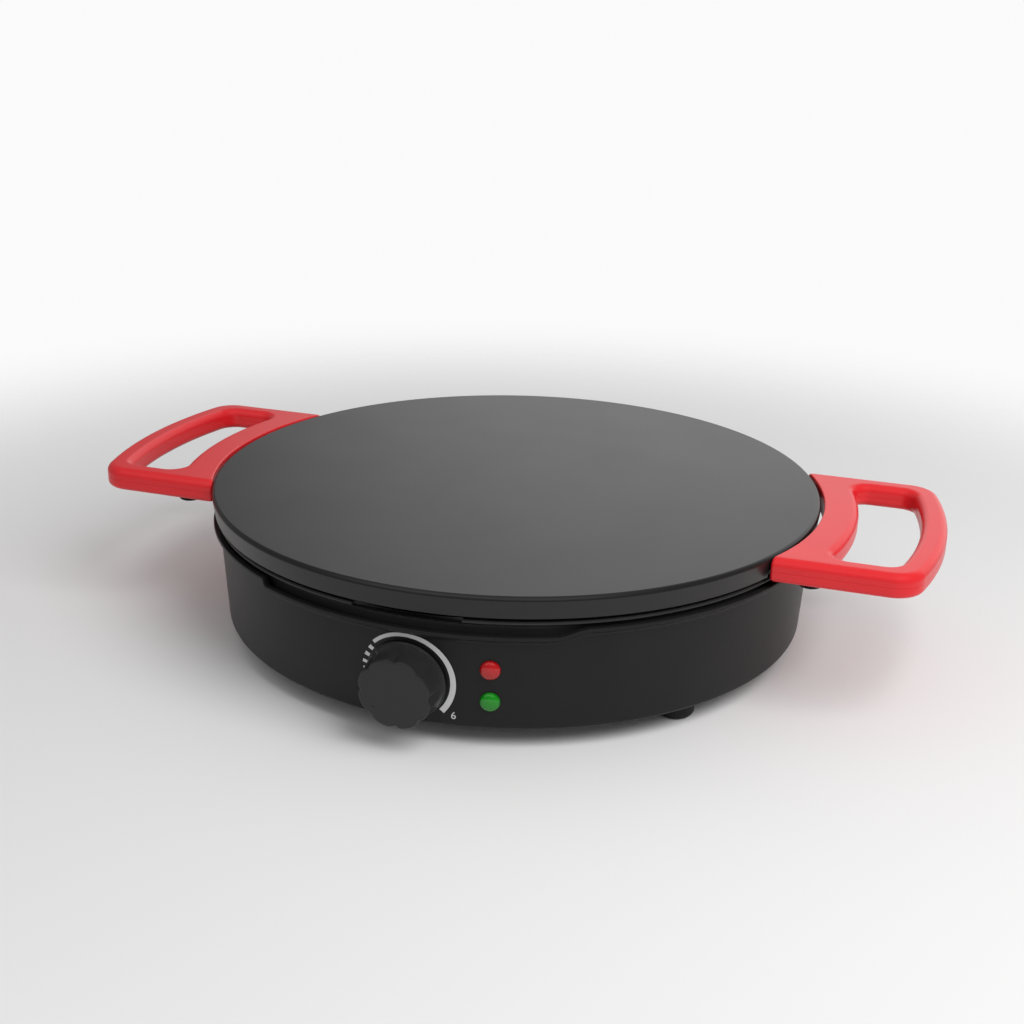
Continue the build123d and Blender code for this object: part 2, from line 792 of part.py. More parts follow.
# Reflector pan: a sheet dish on the housing's shelf.
with BuildPart() as reflector_pan:
    with BuildSketch(Plane.XZ):
        with BuildLine():
            Polyline(
                (guide_radius + fixed_gap, pan_floor),
                (pan_floor_radius, pan_floor),
                (pan_flange_inner, shelf_top),
                (pan_radius, shelf_top),
                (pan_radius, pan_flange_top),
                (pan_flange_inner - pan_sheet / 2, pan_flange_top),
                (pan_floor_radius - pan_sheet / 2, pan_floor + pan_sheet),
                (guide_radius + fixed_gap, pan_floor + pan_sheet),
                close=True,
            )
        make_face()
    revolve(axis=Axis.Z)
    with BuildSketch(Plane.XY.offset(pan_floor)):
        with Locations(*leg_points):
            Circle(bush_radius + fixed_gap)
        with PolarLocations(shield_post_circle_radius, shield_post_count, start_angle=90):
            Circle(rivet_radius + fixed_gap)
    extrude(amount=pan_sheet, mode=Mode.SUBTRACT)
    with BuildSketch(Plane.XY.offset(shelf_top)):
        with Locations(*column_points):
            Circle(peg_pin_radius + fixed_gap)
        with Locations(*pan_screw_points):
            Circle(pan_screw_radius + fixed_gap)
    extrude(amount=pan_sheet, mode=Mode.SUBTRACT)
save(reflector_pan.part, "reflector_pan")

# Screws through the collar's foot and the pan's flange into the housing's bosses.
with BuildPart() as pan_screws:
    with BuildSketch(Plane.XY.offset(pan_flange_top + collar_sheet)):
        with Locations(*pan_screw_points):
            Circle(pan_screw_head)
    extrude(amount=pan_screw_head_height)
    with BuildSketch(Plane.XY.offset(pan_flange_top + collar_sheet)):
        with Locations(*pan_screw_points):
            Circle(pan_screw_radius)
    extrude(amount=screw_tip_gap - pan_sheet - collar_sheet - pan_screw_depth)
save(pan_screws.part, "pan_screws")

# Heat shield: a flat disc hung under the pan on riveted posts.
with BuildPart() as heat_shield:
    with BuildSketch(Plane.XY.offset(shield_top - shield_sheet)):
        Circle(shield_radius)
        Circle(guide_flange_radius, mode=Mode.SUBTRACT)
        with Locations(*leg_points):
            Circle(bush_radius + slot_gap, mode=Mode.SUBTRACT)
        with PolarLocations(shield_post_circle_radius, shield_post_count, start_angle=90):
            Circle(rivet_radius + fixed_gap, mode=Mode.SUBTRACT)
    extrude(amount=shield_sheet)
save(heat_shield.part, "heat_shield")

with BuildPart() as shield_posts:
    with BuildSketch(Plane.XY.offset(shield_top)):
        with PolarLocations(shield_post_circle_radius, shield_post_count, start_angle=90):
            Circle(shield_post_radius)
            Circle(rivet_radius + fixed_gap, mode=Mode.SUBTRACT)
    extrude(amount=pan_floor - shield_top)
save(shield_posts.part, "shield_posts")

with BuildPart() as shield_rivets:
    rivet_bottom = shield_top - shield_sheet
    rivet_top = pan_floor + pan_sheet
    with BuildSketch(Plane.XY.offset(rivet_bottom - rivet_head_height)):
        with PolarLocations(shield_post_circle_radius, shield_post_count, start_angle=90):
            Circle(rivet_head)
    extrude(amount=rivet_head_height)
    with BuildSketch(Plane.XY.offset(rivet_bottom)):
        with PolarLocations(shield_post_circle_radius, shield_post_count, start_angle=90):
            Circle(rivet_radius)
    extrude(amount=rivet_top - rivet_bottom)
    with BuildSketch(Plane.XY.offset(rivet_top)):
        with PolarLocations(shield_post_circle_radius, shield_post_count, start_angle=90):
            Circle(rivet_head)
    extrude(amount=rivet_head_height)
save(shield_rivets.part, "shield_rivets")


def saddle_places():
    """Angle and ring radius of each clip, clear of the element's ends and its turn."""
    span = (element_turn_angle - element_start_angle) / clip_count
    return [
        (element_start_angle + span * (index + 0.5), ring)
        for ring in (element_outer_radius, element_inner_radius)
        for index in range(clip_count)
    ]


# Clips that hold the element's rings above the pan.
with BuildPart() as element_clips:
    clip_height = element_height + clip_bore + clip_wall - pan_floor - pan_sheet
    for angle, ring in saddle_places():
        stand = Plane(
            origin=element_point(angle, ring, pan_floor + pan_sheet),
            x_dir=element_point(angle, 1, 0),
            z_dir=(0, 0, 1),
        )
        with BuildSketch(stand):
            Rectangle(2 * (clip_bore + clip_wall), clip_width)
        extrude(amount=clip_height)
        across = Plane(
            origin=element_point(angle, ring) - element_way(angle) * clip_width,
            x_dir=element_point(angle, 1, 0),
            z_dir=element_way(angle),
        )
        with BuildSketch(across):
            Circle(clip_bore)
        extrude(amount=2 * clip_width, mode=Mode.SUBTRACT)
save(element_clips.part, "element_clips")

# Pegs: each stands on a column, with a pin down into it and a spigot up into the plate's boss.
for number, point in enumerate(column_points, start=1):
    with BuildPart() as plate_peg:
        with BuildSketch(Plane.XY.offset(pan_flange_top)):
            with Locations(point):
                Circle(peg_radius)
        extrude(amount=peg_top - pan_flange_top)
        with BuildSketch(Plane.XY.offset(peg_top)):
            with Locations(point):
                Circle(peg_spigot_radius)
        extrude(amount=peg_spigot_height)
        chamfer(plate_peg.edges().group_by(Axis.Z)[-1], peg_spigot_chamfer)
        with BuildSketch(Plane.XY.offset(pan_flange_top)):
            with Locations(point):
                Circle(peg_pin_radius)
        extrude(amount=-(pan_sheet + peg_pin_length))
    save(plate_peg.part, f"plate_peg_{number}")

# Probe guide: a flanged tube in the middle of the pan, closed but for the probe's stem.
with BuildPart() as probe_guide:
    with BuildSketch(Plane.XY.offset(guide_bottom)):
        Circle(guide_flange_radius - slot_gap)
    extrude(amount=guide_flange)
    with BuildSketch(Plane.XY.offset(pan_floor)):
        Circle(guide_radius)
    extrude(amount=guide_top - pan_floor)
    with BuildSketch(Plane.XY.offset(guide_bottom)):
        Circle(probe_stem + running_gap)
    extrude(amount=guide_top - guide_bottom, mode=Mode.SUBTRACT)
save(probe_guide.part, "probe_guide")

# Probe: a cap that presses on the plate, on a hollow stem with a groove for its clip.
clip_top = guide_bottom
with BuildPart() as probe:
    with BuildSketch(Plane.XY.offset(probe_top - probe_cap)):
        Circle(probe_radius)
    extrude(amount=probe_cap)
    fillet(probe.edges().group_by(Axis.Z)[-1], probe_cap_round)
    with BuildSketch(Plane.XY.offset(probe_stem_end)):
        Circle(probe_stem)
    extrude(amount=probe_top - probe_cap - probe_stem_end)
    with BuildSketch(Plane.XY.offset(probe_stem_end)):
        Circle(probe_bore)
    extrude(amount=probe_top - 2 * probe_cap - probe_stem_end, mode=Mode.SUBTRACT)
    with BuildSketch(Plane.XY.offset(clip_top - clip_ring_thickness)):
        Circle(probe_stem)
        Circle(probe_stem - clip_ring_depth, mode=Mode.SUBTRACT)
    extrude(amount=clip_ring_thickness, mode=Mode.SUBTRACT)
save(probe.part, "probe")

with BuildPart() as probe_clip:
    with BuildSketch(Plane.XY.offset(clip_top - clip_ring_thickness)):
        Circle(clip_ring_radius)
        Circle(probe_stem - clip_ring_depth, mode=Mode.SUBTRACT)
        with Locations((0, -clip_ring_radius)):
            Rectangle(probe_stem, 2 * clip_ring_radius, mode=Mode.SUBTRACT)
    extrude(amount=clip_ring_thickness)
save(probe_clip.part, "probe_clip")

# Probe spring: wire round the stem, from the guide's top to the cap.
spring_low = guide_top + spring_wire
spring_high = probe_top - probe_cap - spring_wire
with BuildPart() as probe_spring:
    with BuildLine() as coil:
        Helix(
            pitch=(spring_high - spring_low) / spring_turns,
            height=spring_high - spring_low,
            radius=spring_radius,
            center=(0, 0, spring_low),
        )
    with BuildSketch(Plane(origin=coil.line @ 0, z_dir=coil.line % 0)):
        Circle(spring_wire)
    sweep(is_frenet=True)
save(probe_spring.part, "probe_spring")

# Knob: a flange, a fluted grip and a hub, moulded hollow, with a dimple as its pointer.
with BuildPart() as knob:
    with BuildSketch(knob_plane.offset(knob_back)):
        Circle(knob_flange_radius)
    extrude(amount=knob_flange_thickness)
    with BuildSketch(knob_plane.offset(knob_back + knob_flange_thickness)):
        Circle(knob_root_radius)
    extrude(amount=knob_front - knob_back - knob_flange_thickness, taper=knob_taper)
    with BuildSketch(knob_plane.offset(flute_start)):
        with PolarLocations(flute_circle_radius, flute_count, start_angle=90):
            Circle(flute_radius)
    extrude(amount=knob_front, mode=Mode.SUBTRACT)
    fillet(knob.faces().sort_by(Axis.Y)[0].outer_wire().edges(), knob_edge_round)
    with BuildSketch(knob_plane.offset(knob_back)):
        Circle(flute_circle_radius - flute_radius - knob_wall)
        Circle(knob_hub_radius, mode=Mode.SUBTRACT)
    extrude(amount=knob_front - knob_back - knob_face, mode=Mode.SUBTRACT)
    with BuildSketch(knob_plane.offset(knob_back)):
        Circle(knob_recess_radius)
    extrude(amount=knob_recess_depth, mode=Mode.SUBTRACT)
    with BuildSketch(knob_plane.offset(knob_back)):
        Circle(spindle_radius + fixed_gap)
    extrude(amount=spindle_end + slot_gap - knob_back, mode=Mode.SUBTRACT)
    with BuildSketch(knob_plane.offset(knob_front - pointer_depth)):
        with PolarLocations(pointer_circle_radius, 1, start_angle=pointer_bearing):
            Circle(pointer_radius)
    extrude(amount=pointer_depth, mode=Mode.SUBTRACT)
save(knob.part, "knob")

# Spindle: turns in the thermostat's bush, with a flat for the knob's clip.
with BuildPart() as thermostat_spindle:
    with BuildSketch(knob_plane.offset(-spindle_tail)):
        Circle(spindle_radius)
    extrude(amount=spindle_tail + spindle_end)
    with BuildSketch(knob_plane.offset(spindle_end - knob_clip_length - slot_gap)):
        with Locations((0, spindle_flat + spindle_radius)):
            Rectangle(2 * spindle_radius, 2 * spindle_radius)
    extrude(amount=knob_clip_length + slot_gap, mode=Mode.SUBTRACT)
save(thermostat_spindle.part, "thermostat_spindle")

with BuildPart() as knob_clip:
    with BuildSketch(knob_plane.offset(spindle_end - knob_clip_length)):
        with Locations((0, spindle_flat + fixed_gap + knob_clip_thickness / 2)):
            Rectangle(knob_clip_width, knob_clip_thickness)
    extrude(amount=knob_clip_length)
save(knob_clip.part, "knob_clip")

# Thermostat: a moulded block behind the wall, with its bush and two tabs.
with BuildPart() as thermostat_body:
    with BuildSketch(knob_plane.offset(-thermostat_pad)):
        Rectangle(thermostat_width, thermostat_height)
    extrude(amount=-thermostat_depth)
    fillet(thermostat_body.edges().filter_by(knob_plane.location.z_axis), thermostat_corner)
    with BuildSketch(knob_plane.offset(-thermostat_pad)):
        Circle(bush_outer)
    extrude(amount=thermostat_pad + bush_end)
    with BuildSketch(knob_plane.offset(-thermostat_pad - thermostat_depth)):
        with Locations((thermostat_tab_pitch / 2, 0), (-thermostat_tab_pitch / 2, 0)):
            Rectangle(tab_thickness, tab_width)
    extrude(amount=-tab_length)
    with BuildSketch(knob_plane.offset(-spindle_tail - slot_gap)):
        Circle(spindle_radius + running_gap)
    extrude(amount=2 * spindle_tail, mode=Mode.SUBTRACT)
    with BuildSketch(knob_plane.offset(-thermostat_pad)):
        with Locations((thermostat_screw_offset, 0), (-thermostat_screw_offset, 0)):
            Circle(thermostat_screw_radius + fixed_gap)
    extrude(amount=-thermostat_screw_length, mode=Mode.SUBTRACT)
save(thermostat_body.part, "thermostat_body")

# Countersunk screws that hold the thermostat, under the knob's flange.
thermostat_screw_reach = thermostat_pad + thermostat_screw_length - screw_tip_gap
with BuildPart() as thermostat_screws:
    with BuildSketch(knob_plane.offset(-thermostat_screw_reach)):
        with Locations((thermostat_screw_offset, 0), (-thermostat_screw_offset, 0)):
            Circle(thermostat_screw_radius)
    extrude(amount=thermostat_screw_reach - thermostat_screw_sink)
    with BuildSketch(knob_plane.offset(-thermostat_screw_sink)):
        with Locations((thermostat_screw_offset, 0), (-thermostat_screw_offset, 0)):
            Circle(thermostat_screw_head)
    extrude(amount=thermostat_screw_radius - thermostat_screw_head, taper=45)
save(thermostat_screws.part, "thermostat_screws")

# Capillary: from the thermostat's back along the base and up inside the probe's stem.
thermostat_back = knob_plane.offset(-thermostat_pad - thermostat_depth).origin
capillary_level = thermostat_back.Z - capillary_drop
capillary_front = thermostat_back.Y + capillary_first_run
capillary_rear = capillary_front + capillary_cross_run + capillary_side_run
with BuildPart() as capillary_tube:
    with BuildLine() as capillary_path:
        FilletPolyline(
            (0, thermostat_back.Y + slot_gap, capillary_level),
            (0, capillary_front, capillary_level),
            (capillary_sweep, capillary_front + capillary_cross_run, capillary_level),
            (capillary_sweep, capillary_rear, capillary_level),
            (0, 0, capillary_level),
            (0, 0, probe_stem_end + capillary_rise),
            radius=capillary_bend_radius,
        )
    with BuildSketch(Plane(origin=capillary_path.line @ 0, z_dir=capillary_path.line % 0)):
        Circle(capillary_radius)
    sweep()
save(capillary_tube.part, "capillary_tube")

# Pilot lenses, domed, each with a neck through the wall and a neon lamp in a sleeve behind it.
for colour, lamp_height in (("red", red_lamp_height), ("green", green_lamp_height)):
    lamp_plane = wall_plane(lamp_bearing, lamp_height)
    with BuildPart() as pilot_lens:
        with BuildSketch(lamp_plane):
            Circle(lens_radius)
        extrude(amount=lens_rise)
        fillet(pilot_lens.edges().sort_by(Axis.Y)[0], lens_rise - lens_flange)
        with BuildSketch(lamp_plane):
            Circle(lens_neck_radius)
        extrude(amount=-lens_neck_length)
    save(pilot_lens.part, f"pilot_lens_{colour}")
    with BuildPart() as pilot_lamp:
        with BuildSketch(lamp_plane.offset(-lens_neck_length)):
            Circle(lamp_radius)
        extrude(amount=-lamp_length)
        fillet(pilot_lamp.edges().sort_by(Axis.Y)[-1], lamp_tip_round)
    save(pilot_lamp.part, f"pilot_lamp_{colour}")

# Bottom cover: a disc with vents, screwed up into the bosses.
with BuildPart() as bottom_cover:
    with BuildSketch(Plane.XY.offset(cover_bottom)):
        Circle(wall_radius(cover_bottom) - housing_wall - cover_edge_gap)
        with PolarLocations(vent_circle_radius, vent_count):
            SlotOverall(vent_length, vent_width, mode=Mode.SUBTRACT)
        with Locations(*column_points):
            Circle(foot_screw_radius + fixed_gap, mode=Mode.SUBTRACT)
        with Locations(*cover_boss_points):
            Circle(cover_screw_radius + fixed_gap, mode=Mode.SUBTRACT)
    extrude(amount=cover_thickness)
save(bottom_cover.part, "bottom_cover")

with BuildPart() as cover_screws:
    with BuildSketch(Plane.XY.offset(cover_bottom)):
        with Locations(*cover_boss_points):
            Circle(cover_screw_head)
    extrude(amount=-cover_screw_head_height)
    with BuildSketch(Plane.XY.offset(cover_bottom)):
        with Locations(*cover_boss_points):
            Circle(cover_screw_radius)
    extrude(amount=cover_thickness + cover_screw_depth - screw_tip_gap)
save(cover_screws.part, "cover_screws")

# Feet: rubber pads with rounded undersides, each with a deep seat for its screw.
foot_names = ["front_right", "rear_right", "rear_left", "front_left"]
for name, point in zip(foot_names, column_points):
    with BuildPart() as foot:
        with BuildSketch(Plane.XY):
            with Locations(point):
                Circle(foot_radius)
        extrude(amount=cover_bottom)
        fillet(foot.edges().group_by(Axis.Z)[0], foot_round)
        with BuildSketch(Plane.XY):
            with Locations(point):
                Circle(foot_bore_radius)
        extrude(amount=foot_bore_depth, mode=Mode.SUBTRACT)
        with BuildSketch(Plane.XY):
            with Locations(point):
                Circle(foot_screw_radius + fixed_gap)
        extrude(amount=cover_bottom, mode=Mode.SUBTRACT)
    save(foot.part, f"foot_{name}")

with BuildPart() as foot_screws:
    with BuildSketch(Plane.XY.offset(foot_bore_depth)):
        with Locations(*column_points):
            Circle(foot_screw_head)
    extrude(amount=-foot_screw_head_height)
    with BuildSketch(Plane.XY.offset(foot_bore_depth)):
        with Locations(*column_points):
            Circle(foot_screw_radius)
    extrude(amount=cover_seat - foot_bore_depth + foot_screw_depth - screw_tip_gap)
save(foot_screws.part, "foot_screws")

# Cord gland: a flanged sleeve through the rear wall, tapered outside, with a nut inside.
wall_inside = wall_radius(gland_height) - housing_wall
nut_seat = wall_inside - sqrt(wall_inside**2 - gland_nut_radius**2) + fixed_gap
with BuildPart() as cord_gland:
    with BuildSketch(gland_plane.offset(-gland_inside)):
        Circle(gland_neck_radius)
    extrude(amount=gland_inside)
    with BuildSketch(gland_plane):
        Circle(gland_flange_radius)
    extrude(amount=gland_flange)
    with BuildSketch(gland_plane.offset(gland_flange)):
        Circle(gland_nose_radius)
    extrude(amount=gland_nose - gland_flange, taper=gland_taper)
    fillet(cord_gland.edges().sort_by(Axis.Y)[-1], gland_round)
    with BuildSketch(gland_plane.offset(-gland_inside)):
        Circle(gland_bore)
    extrude(amount=gland_inside + gland_nose, mode=Mode.SUBTRACT)
save(cord_gland.part, "cord_gland")

with BuildPart() as gland_nut:
    with BuildSketch(gland_plane.offset(-housing_wall - nut_seat)):
        RegularPolygon(gland_nut_radius, 6)
        Circle(gland_neck_radius + fixed_gap, mode=Mode.SUBTRACT)
    extrude(amount=-gland_nut_thickness)
save(gland_nut.part, "gland_nut")

# Terminal block on the bottom cover, near the gland.
pole_points = [((index - (block_poles - 1) / 2) * block_pitch, block_y) for index in range(block_poles)]
with BuildPart() as terminal_block:
    with BuildSketch(Plane.XY.offset(cover_seat)):
        with Locations((0, block_y)):
            Rectangle(block_length, block_width)
    extrude(amount=block_height)
    fillet(terminal_block.edges().filter_by(Axis.Z), block_corner)
    with BuildSketch(Plane.XY.offset(cover_seat + block_height)):
        with Locations(*pole_points):
            Circle(block_screw_head + fixed_gap)
    extrude(amount=-block_well_depth, mode=Mode.SUBTRACT)
    for pole in pole_points:
        with BuildSketch(Plane.XZ.offset(-block_y)):
            with Locations((pole[0], cover_seat + block_height / 2)):
                Circle(block_hole)
        extrude(amount=block_width, both=True, mode=Mode.SUBTRACT)
save(terminal_block.part, "terminal_block")

with BuildPart() as terminal_screws:
    with BuildSketch(Plane.XY.offset(cover_seat + block_height - block_well_depth)):
        with Locations(*pole_points):
            Circle(block_screw_head)
    extrude(amount=block_screw_height)
save(terminal_screws.part, "terminal_screws")

# Thermal fuse, held against the heat shield's underside by a sheet clip.
fuse_level = shield_top - shield_sheet - fuse_radius
with BuildPart() as thermal_fuse:
    with BuildSketch(Plane.YZ.offset(fuse_x - fuse_length / 2)):
        with Locations((fuse_y, fuse_level)):
            Circle(fuse_radius)
    extrude(amount=fuse_length)
save(thermal_fuse.part, "thermal_fuse")

with BuildPart() as fuse_clip:
    with BuildSketch(Plane.YZ.offset(fuse_x - fuse_clip_width / 2)):
        with Locations((fuse_y, fuse_level)):
            Circle(fuse_radius + fixed_gap + fuse_clip_sheet)
        with Locations((fuse_y, shield_top - shield_sheet - fuse_clip_sheet / 2)):
            Rectangle(fuse_clip_length, fuse_clip_sheet)
        with Locations((fuse_y, fuse_level)):
            Circle(fuse_radius + fixed_gap, mode=Mode.SUBTRACT)
        with Locations((fuse_y, shield_top - shield_sheet + fuse_radius)):
            Rectangle(2 * fuse_clip_length, 2 * fuse_radius, mode=Mode.SUBTRACT)
    extrude(amount=fuse_clip_width)
save(fuse_clip.part, "fuse_clip")
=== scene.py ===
import math

import bmesh
import bpy
from mathutils import Euler, Matrix, Vector


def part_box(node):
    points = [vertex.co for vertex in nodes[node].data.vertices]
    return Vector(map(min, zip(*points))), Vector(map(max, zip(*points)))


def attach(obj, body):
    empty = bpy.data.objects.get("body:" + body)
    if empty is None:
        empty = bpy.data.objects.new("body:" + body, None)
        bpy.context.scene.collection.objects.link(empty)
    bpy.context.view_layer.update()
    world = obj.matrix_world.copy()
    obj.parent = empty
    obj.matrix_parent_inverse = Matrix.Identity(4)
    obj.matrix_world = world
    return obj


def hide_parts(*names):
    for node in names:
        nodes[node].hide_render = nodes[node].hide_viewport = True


# Looks for an electric crepe maker: a coated griddle plate with two red handles on a black base.
# Z is up, the plate's axis is on Z and the knob is at -Y. Sizes in the settings are millimetres and
# degrees, apart from the camera's and the studio's, which are in metres.

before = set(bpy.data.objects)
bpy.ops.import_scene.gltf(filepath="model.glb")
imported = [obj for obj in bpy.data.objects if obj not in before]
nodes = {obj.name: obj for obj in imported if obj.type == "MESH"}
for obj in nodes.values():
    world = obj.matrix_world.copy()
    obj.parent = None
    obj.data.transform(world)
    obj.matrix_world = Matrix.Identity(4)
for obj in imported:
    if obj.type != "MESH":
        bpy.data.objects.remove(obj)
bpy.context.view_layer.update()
print("frame loaded:", len(nodes), "nodes")


# Small helpers

def linear(hexColour):
    # sRGB hex to the linear values that Blender wants
    parts = [int(hexColour[i:i + 2], 16) / 255 for i in (1, 3, 5)]
    return [p / 12.92 if p <= 0.04045 else ((p + 0.055) / 1.055) ** 2.4 for p in parts] + [1.0]


def addNode(tree, kind, settings=None, links=None):
    # adds one node, sets its values or properties, and plugs outputs into its inputs
    node = tree.nodes.new(kind)
    for name, value in (settings or {}).items():
        if isinstance(name, int) or name in node.inputs:
            node.inputs[name].default_value = value
        else:
            setattr(node, name, value)
    for name, source in (links or {}).items():
        tree.links.new(source, node.inputs[name])
    return node


def newMaterial(name, settings):
    # a material with one Principled shader; values that are the same all over sit on its sockets
    material = bpy.data.materials.new(name)
    material.use_nodes = True
    tree = material.node_tree
    tree.nodes.clear()
    shader = addNode(tree, "ShaderNodeBsdfPrincipled", settings)
    addNode(tree, "ShaderNodeOutputMaterial", links={"Surface": shader.outputs[0]})
    return material, tree, shader


def perMetre(millimetres):
    # a texture's scale for features of this size
    return 1000.0 / millimetres


def even(start, end, count):
    # equal steps from start to end, both included
    return [start + (end - start) * i / count for i in range(count + 1)]


def smoothStep(value, low, high):
    # 0 up to low and 1 from high, with an easy slope between them
    t = min(max((value - low) / (high - low), 0.0), 1.0)
    return t * t * (3 - 2 * t)


def onCircle(angle, radius, height=0.0):
    return (radius * math.cos(math.radians(angle)), radius * math.sin(math.radians(angle)), height)


def arc(x, y, radius, angles):
    # flat points on a circle about x, y
    turns = [math.radians(angle) for angle in angles]
    return [(x + radius * math.cos(turn), y + radius * math.sin(turn)) for turn in turns]


def spread(count, extra=()):
    # angles all the way round, with more where a form has a step
    return sorted({i * 360 / count for i in range(count)} | {angle % 360 for angle in extra})


def nodeBox(name):
    # a CAD node's lowest and highest corners, in millimetres
    low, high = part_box(name)
    return low * 1000, high * 1000


def meshObject(name, build, unit=0.001):
    # makes an object from a function that fills a bmesh, drawn in millimetres unless told otherwise
    work = bmesh.new()
    build(work)
    bmesh.ops.scale(work, vec=(unit, unit, unit), verts=work.verts)
    bmesh.ops.recalc_face_normals(work, faces=work.faces)
    mesh = bpy.data.meshes.new(name)
    work.to_mesh(mesh)
    work.free()
    piece = bpy.data.objects.new(name, mesh)
    bpy.context.scene.collection.objects.link(piece)
    return piece


def dress(piece, finish, body, stands=(), crease=32):
    # smooth faces but for creases sharper than this, with flat ones kept flat beside the rounds, then
    # a material, the body that the piece rides on, and the nodes that it stands for
    piece.data.shade_smooth()
    piece.data.set_sharp_from_angle(angle=math.radians(crease))
    weighted = piece.modifiers.new("weightedNormals", "WEIGHTED_NORMAL")
    weighted.keep_sharp = True
    piece.data.materials.append(finishes[finish])
    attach(piece, body)
    if stands:
        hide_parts(*stands)


def skin(work, sections, loop=False, around=True):
    # skins sections set side by side. They close on each other where they go around an axis, and
    # each is a loop or an open line; what stays open gets a flat cap
    made = [[work.verts.new(point) for point in section] for section in sections]
    rows = len(made[0])
    pairs = list(zip(made, made[1:] + made[:1]))
    for here, there in pairs if around else pairs[:-1]:
        for j in range(rows if loop else rows - 1):
            k = (j + 1) % rows
            work.faces.new((here[j], there[j], there[k], here[k]))
    if not loop:
        work.faces.new([section[0] for section in made])
        work.faces.new([section[-1] for section in made])
    if not around:
        work.faces.new(made[0])
        work.faces.new(made[-1])


def addTube(work, middle, outer, inner, low, high, count=48):
    # an upright cylinder, with a bore through it where inner isn't zero
    ends = [(outer, low), (outer, high)]
    if inner:
        ends = [(inner, low), *ends, (inner, high)]
    sections = []
    for angle in spread(count):
        x, y = onCircle(angle, 1)[:2]
        sections.append([(middle[0] + x * r, middle[1] + y * r, h) for r, h in ends])
    skin(work, sections, loop=bool(inner))


# Camera: it sees the object from the front, right and above

cameraSettings = {
    "position": (0.22017, -0.68399, 0.3255),
    "azimuth": 18.016,
    "elevation": 20.491,
    "roll": 1.177,
    "lens": 50.0,
    "sensor": 36.0,
    "clip": (0.01, 50.0),
}


def makeCamera(settings):
    data = bpy.data.cameras.new("camera")
    data.lens = settings["lens"]
    data.sensor_width = settings["sensor"]
    data.clip_start, data.clip_end = settings["clip"]
    camera = bpy.data.objects.new("camera", data)
    bpy.context.scene.collection.objects.link(camera)
    turn = Euler((math.radians(90 - settings["elevation"]), 0, math.radians(settings["azimuth"])))
    roll = Matrix.Rotation(math.radians(settings["roll"]), 4, "Z")
    camera.matrix_world = Matrix.Translation(settings["position"]) @ turn.to_matrix().to_4x4() @ roll
    bpy.context.scene.camera = camera


makeCamera(cameraSettings)
bpy.context.scene.view_settings.view_transform = "Standard"
print("camera placed")


# Studio: a pale floor that fades into the white background, an even dome of light, and one soft
# lamp in front on the right

studio = {
    "floorHalf": 3.0,
    "floorColour": "#f4f4f4",
    "fadeStart": 0.27,  # distances from the middle of the floor
    "fadeEnd": 0.75,
    "backdrop": 0.96,  # how bright the dome is to the camera, to matt surfaces and to glossy ones
    "domeLight": 0.47,
    "mirrorBase": 0.24,
    # soft patches that glossy surfaces also see on the dome: the way to the middle, the cosines from
    # it where the patch starts and is full, and its strength
    "patches": (
        ((0.15, 0.93, 0.33), 0.68, 0.94, 1.1),  # the far wall
        ((0.0, 0.0, 1.0), 0.74, 0.95, 0.6),  # the ceiling
        ((-0.28, -0.62, 0.73), 0.86, 0.95, 1.0),  # front left
        ((0.36, -0.60, 0.71), 0.86, 0.95, 1.0),  # front right
    ),
    "lampPosition": (0.6, -0.35, 0.85),
    "lampSize": 0.8,
    "lampPower": 6.6,
}


def makeFloor(settings):
    half = settings["floorHalf"]
    corners = [(x * half, y * half, 0) for x, y in ((-1, -1), (1, -1), (1, 1), (-1, 1))]
    floor = meshObject("floor", lambda work: work.faces.new([work.verts.new(c) for c in corners]), 1)
    material, tree, shader = newMaterial("paintedFloor", {
        "Base Color": linear(settings["floorColour"]), "Roughness": 0.9, "Specular IOR Level": 0.2})
    place = addNode(tree, "ShaderNodeTexCoord")
    reach = addNode(tree, "ShaderNodeVectorMath", {"operation": "LENGTH"}, {0: place.outputs["Object"]})
    fade = addNode(tree, "ShaderNodeMapRange",
                   {"interpolation_type": "SMOOTHERSTEP", "From Min": settings["fadeStart"],
                    "From Max": settings["fadeEnd"]},
                   {"Value": reach.outputs["Value"]})
    clear = addNode(tree, "ShaderNodeBsdfTransparent")
    mixed = addNode(tree, "ShaderNodeMixShader",
                    links={0: fade.outputs[0], 1: shader.outputs[0], 2: clear.outputs[0]})
    tree.links.new(mixed.outputs[0], tree.nodes["Material Output"].inputs["Surface"])
    floor.data.materials.append(material)


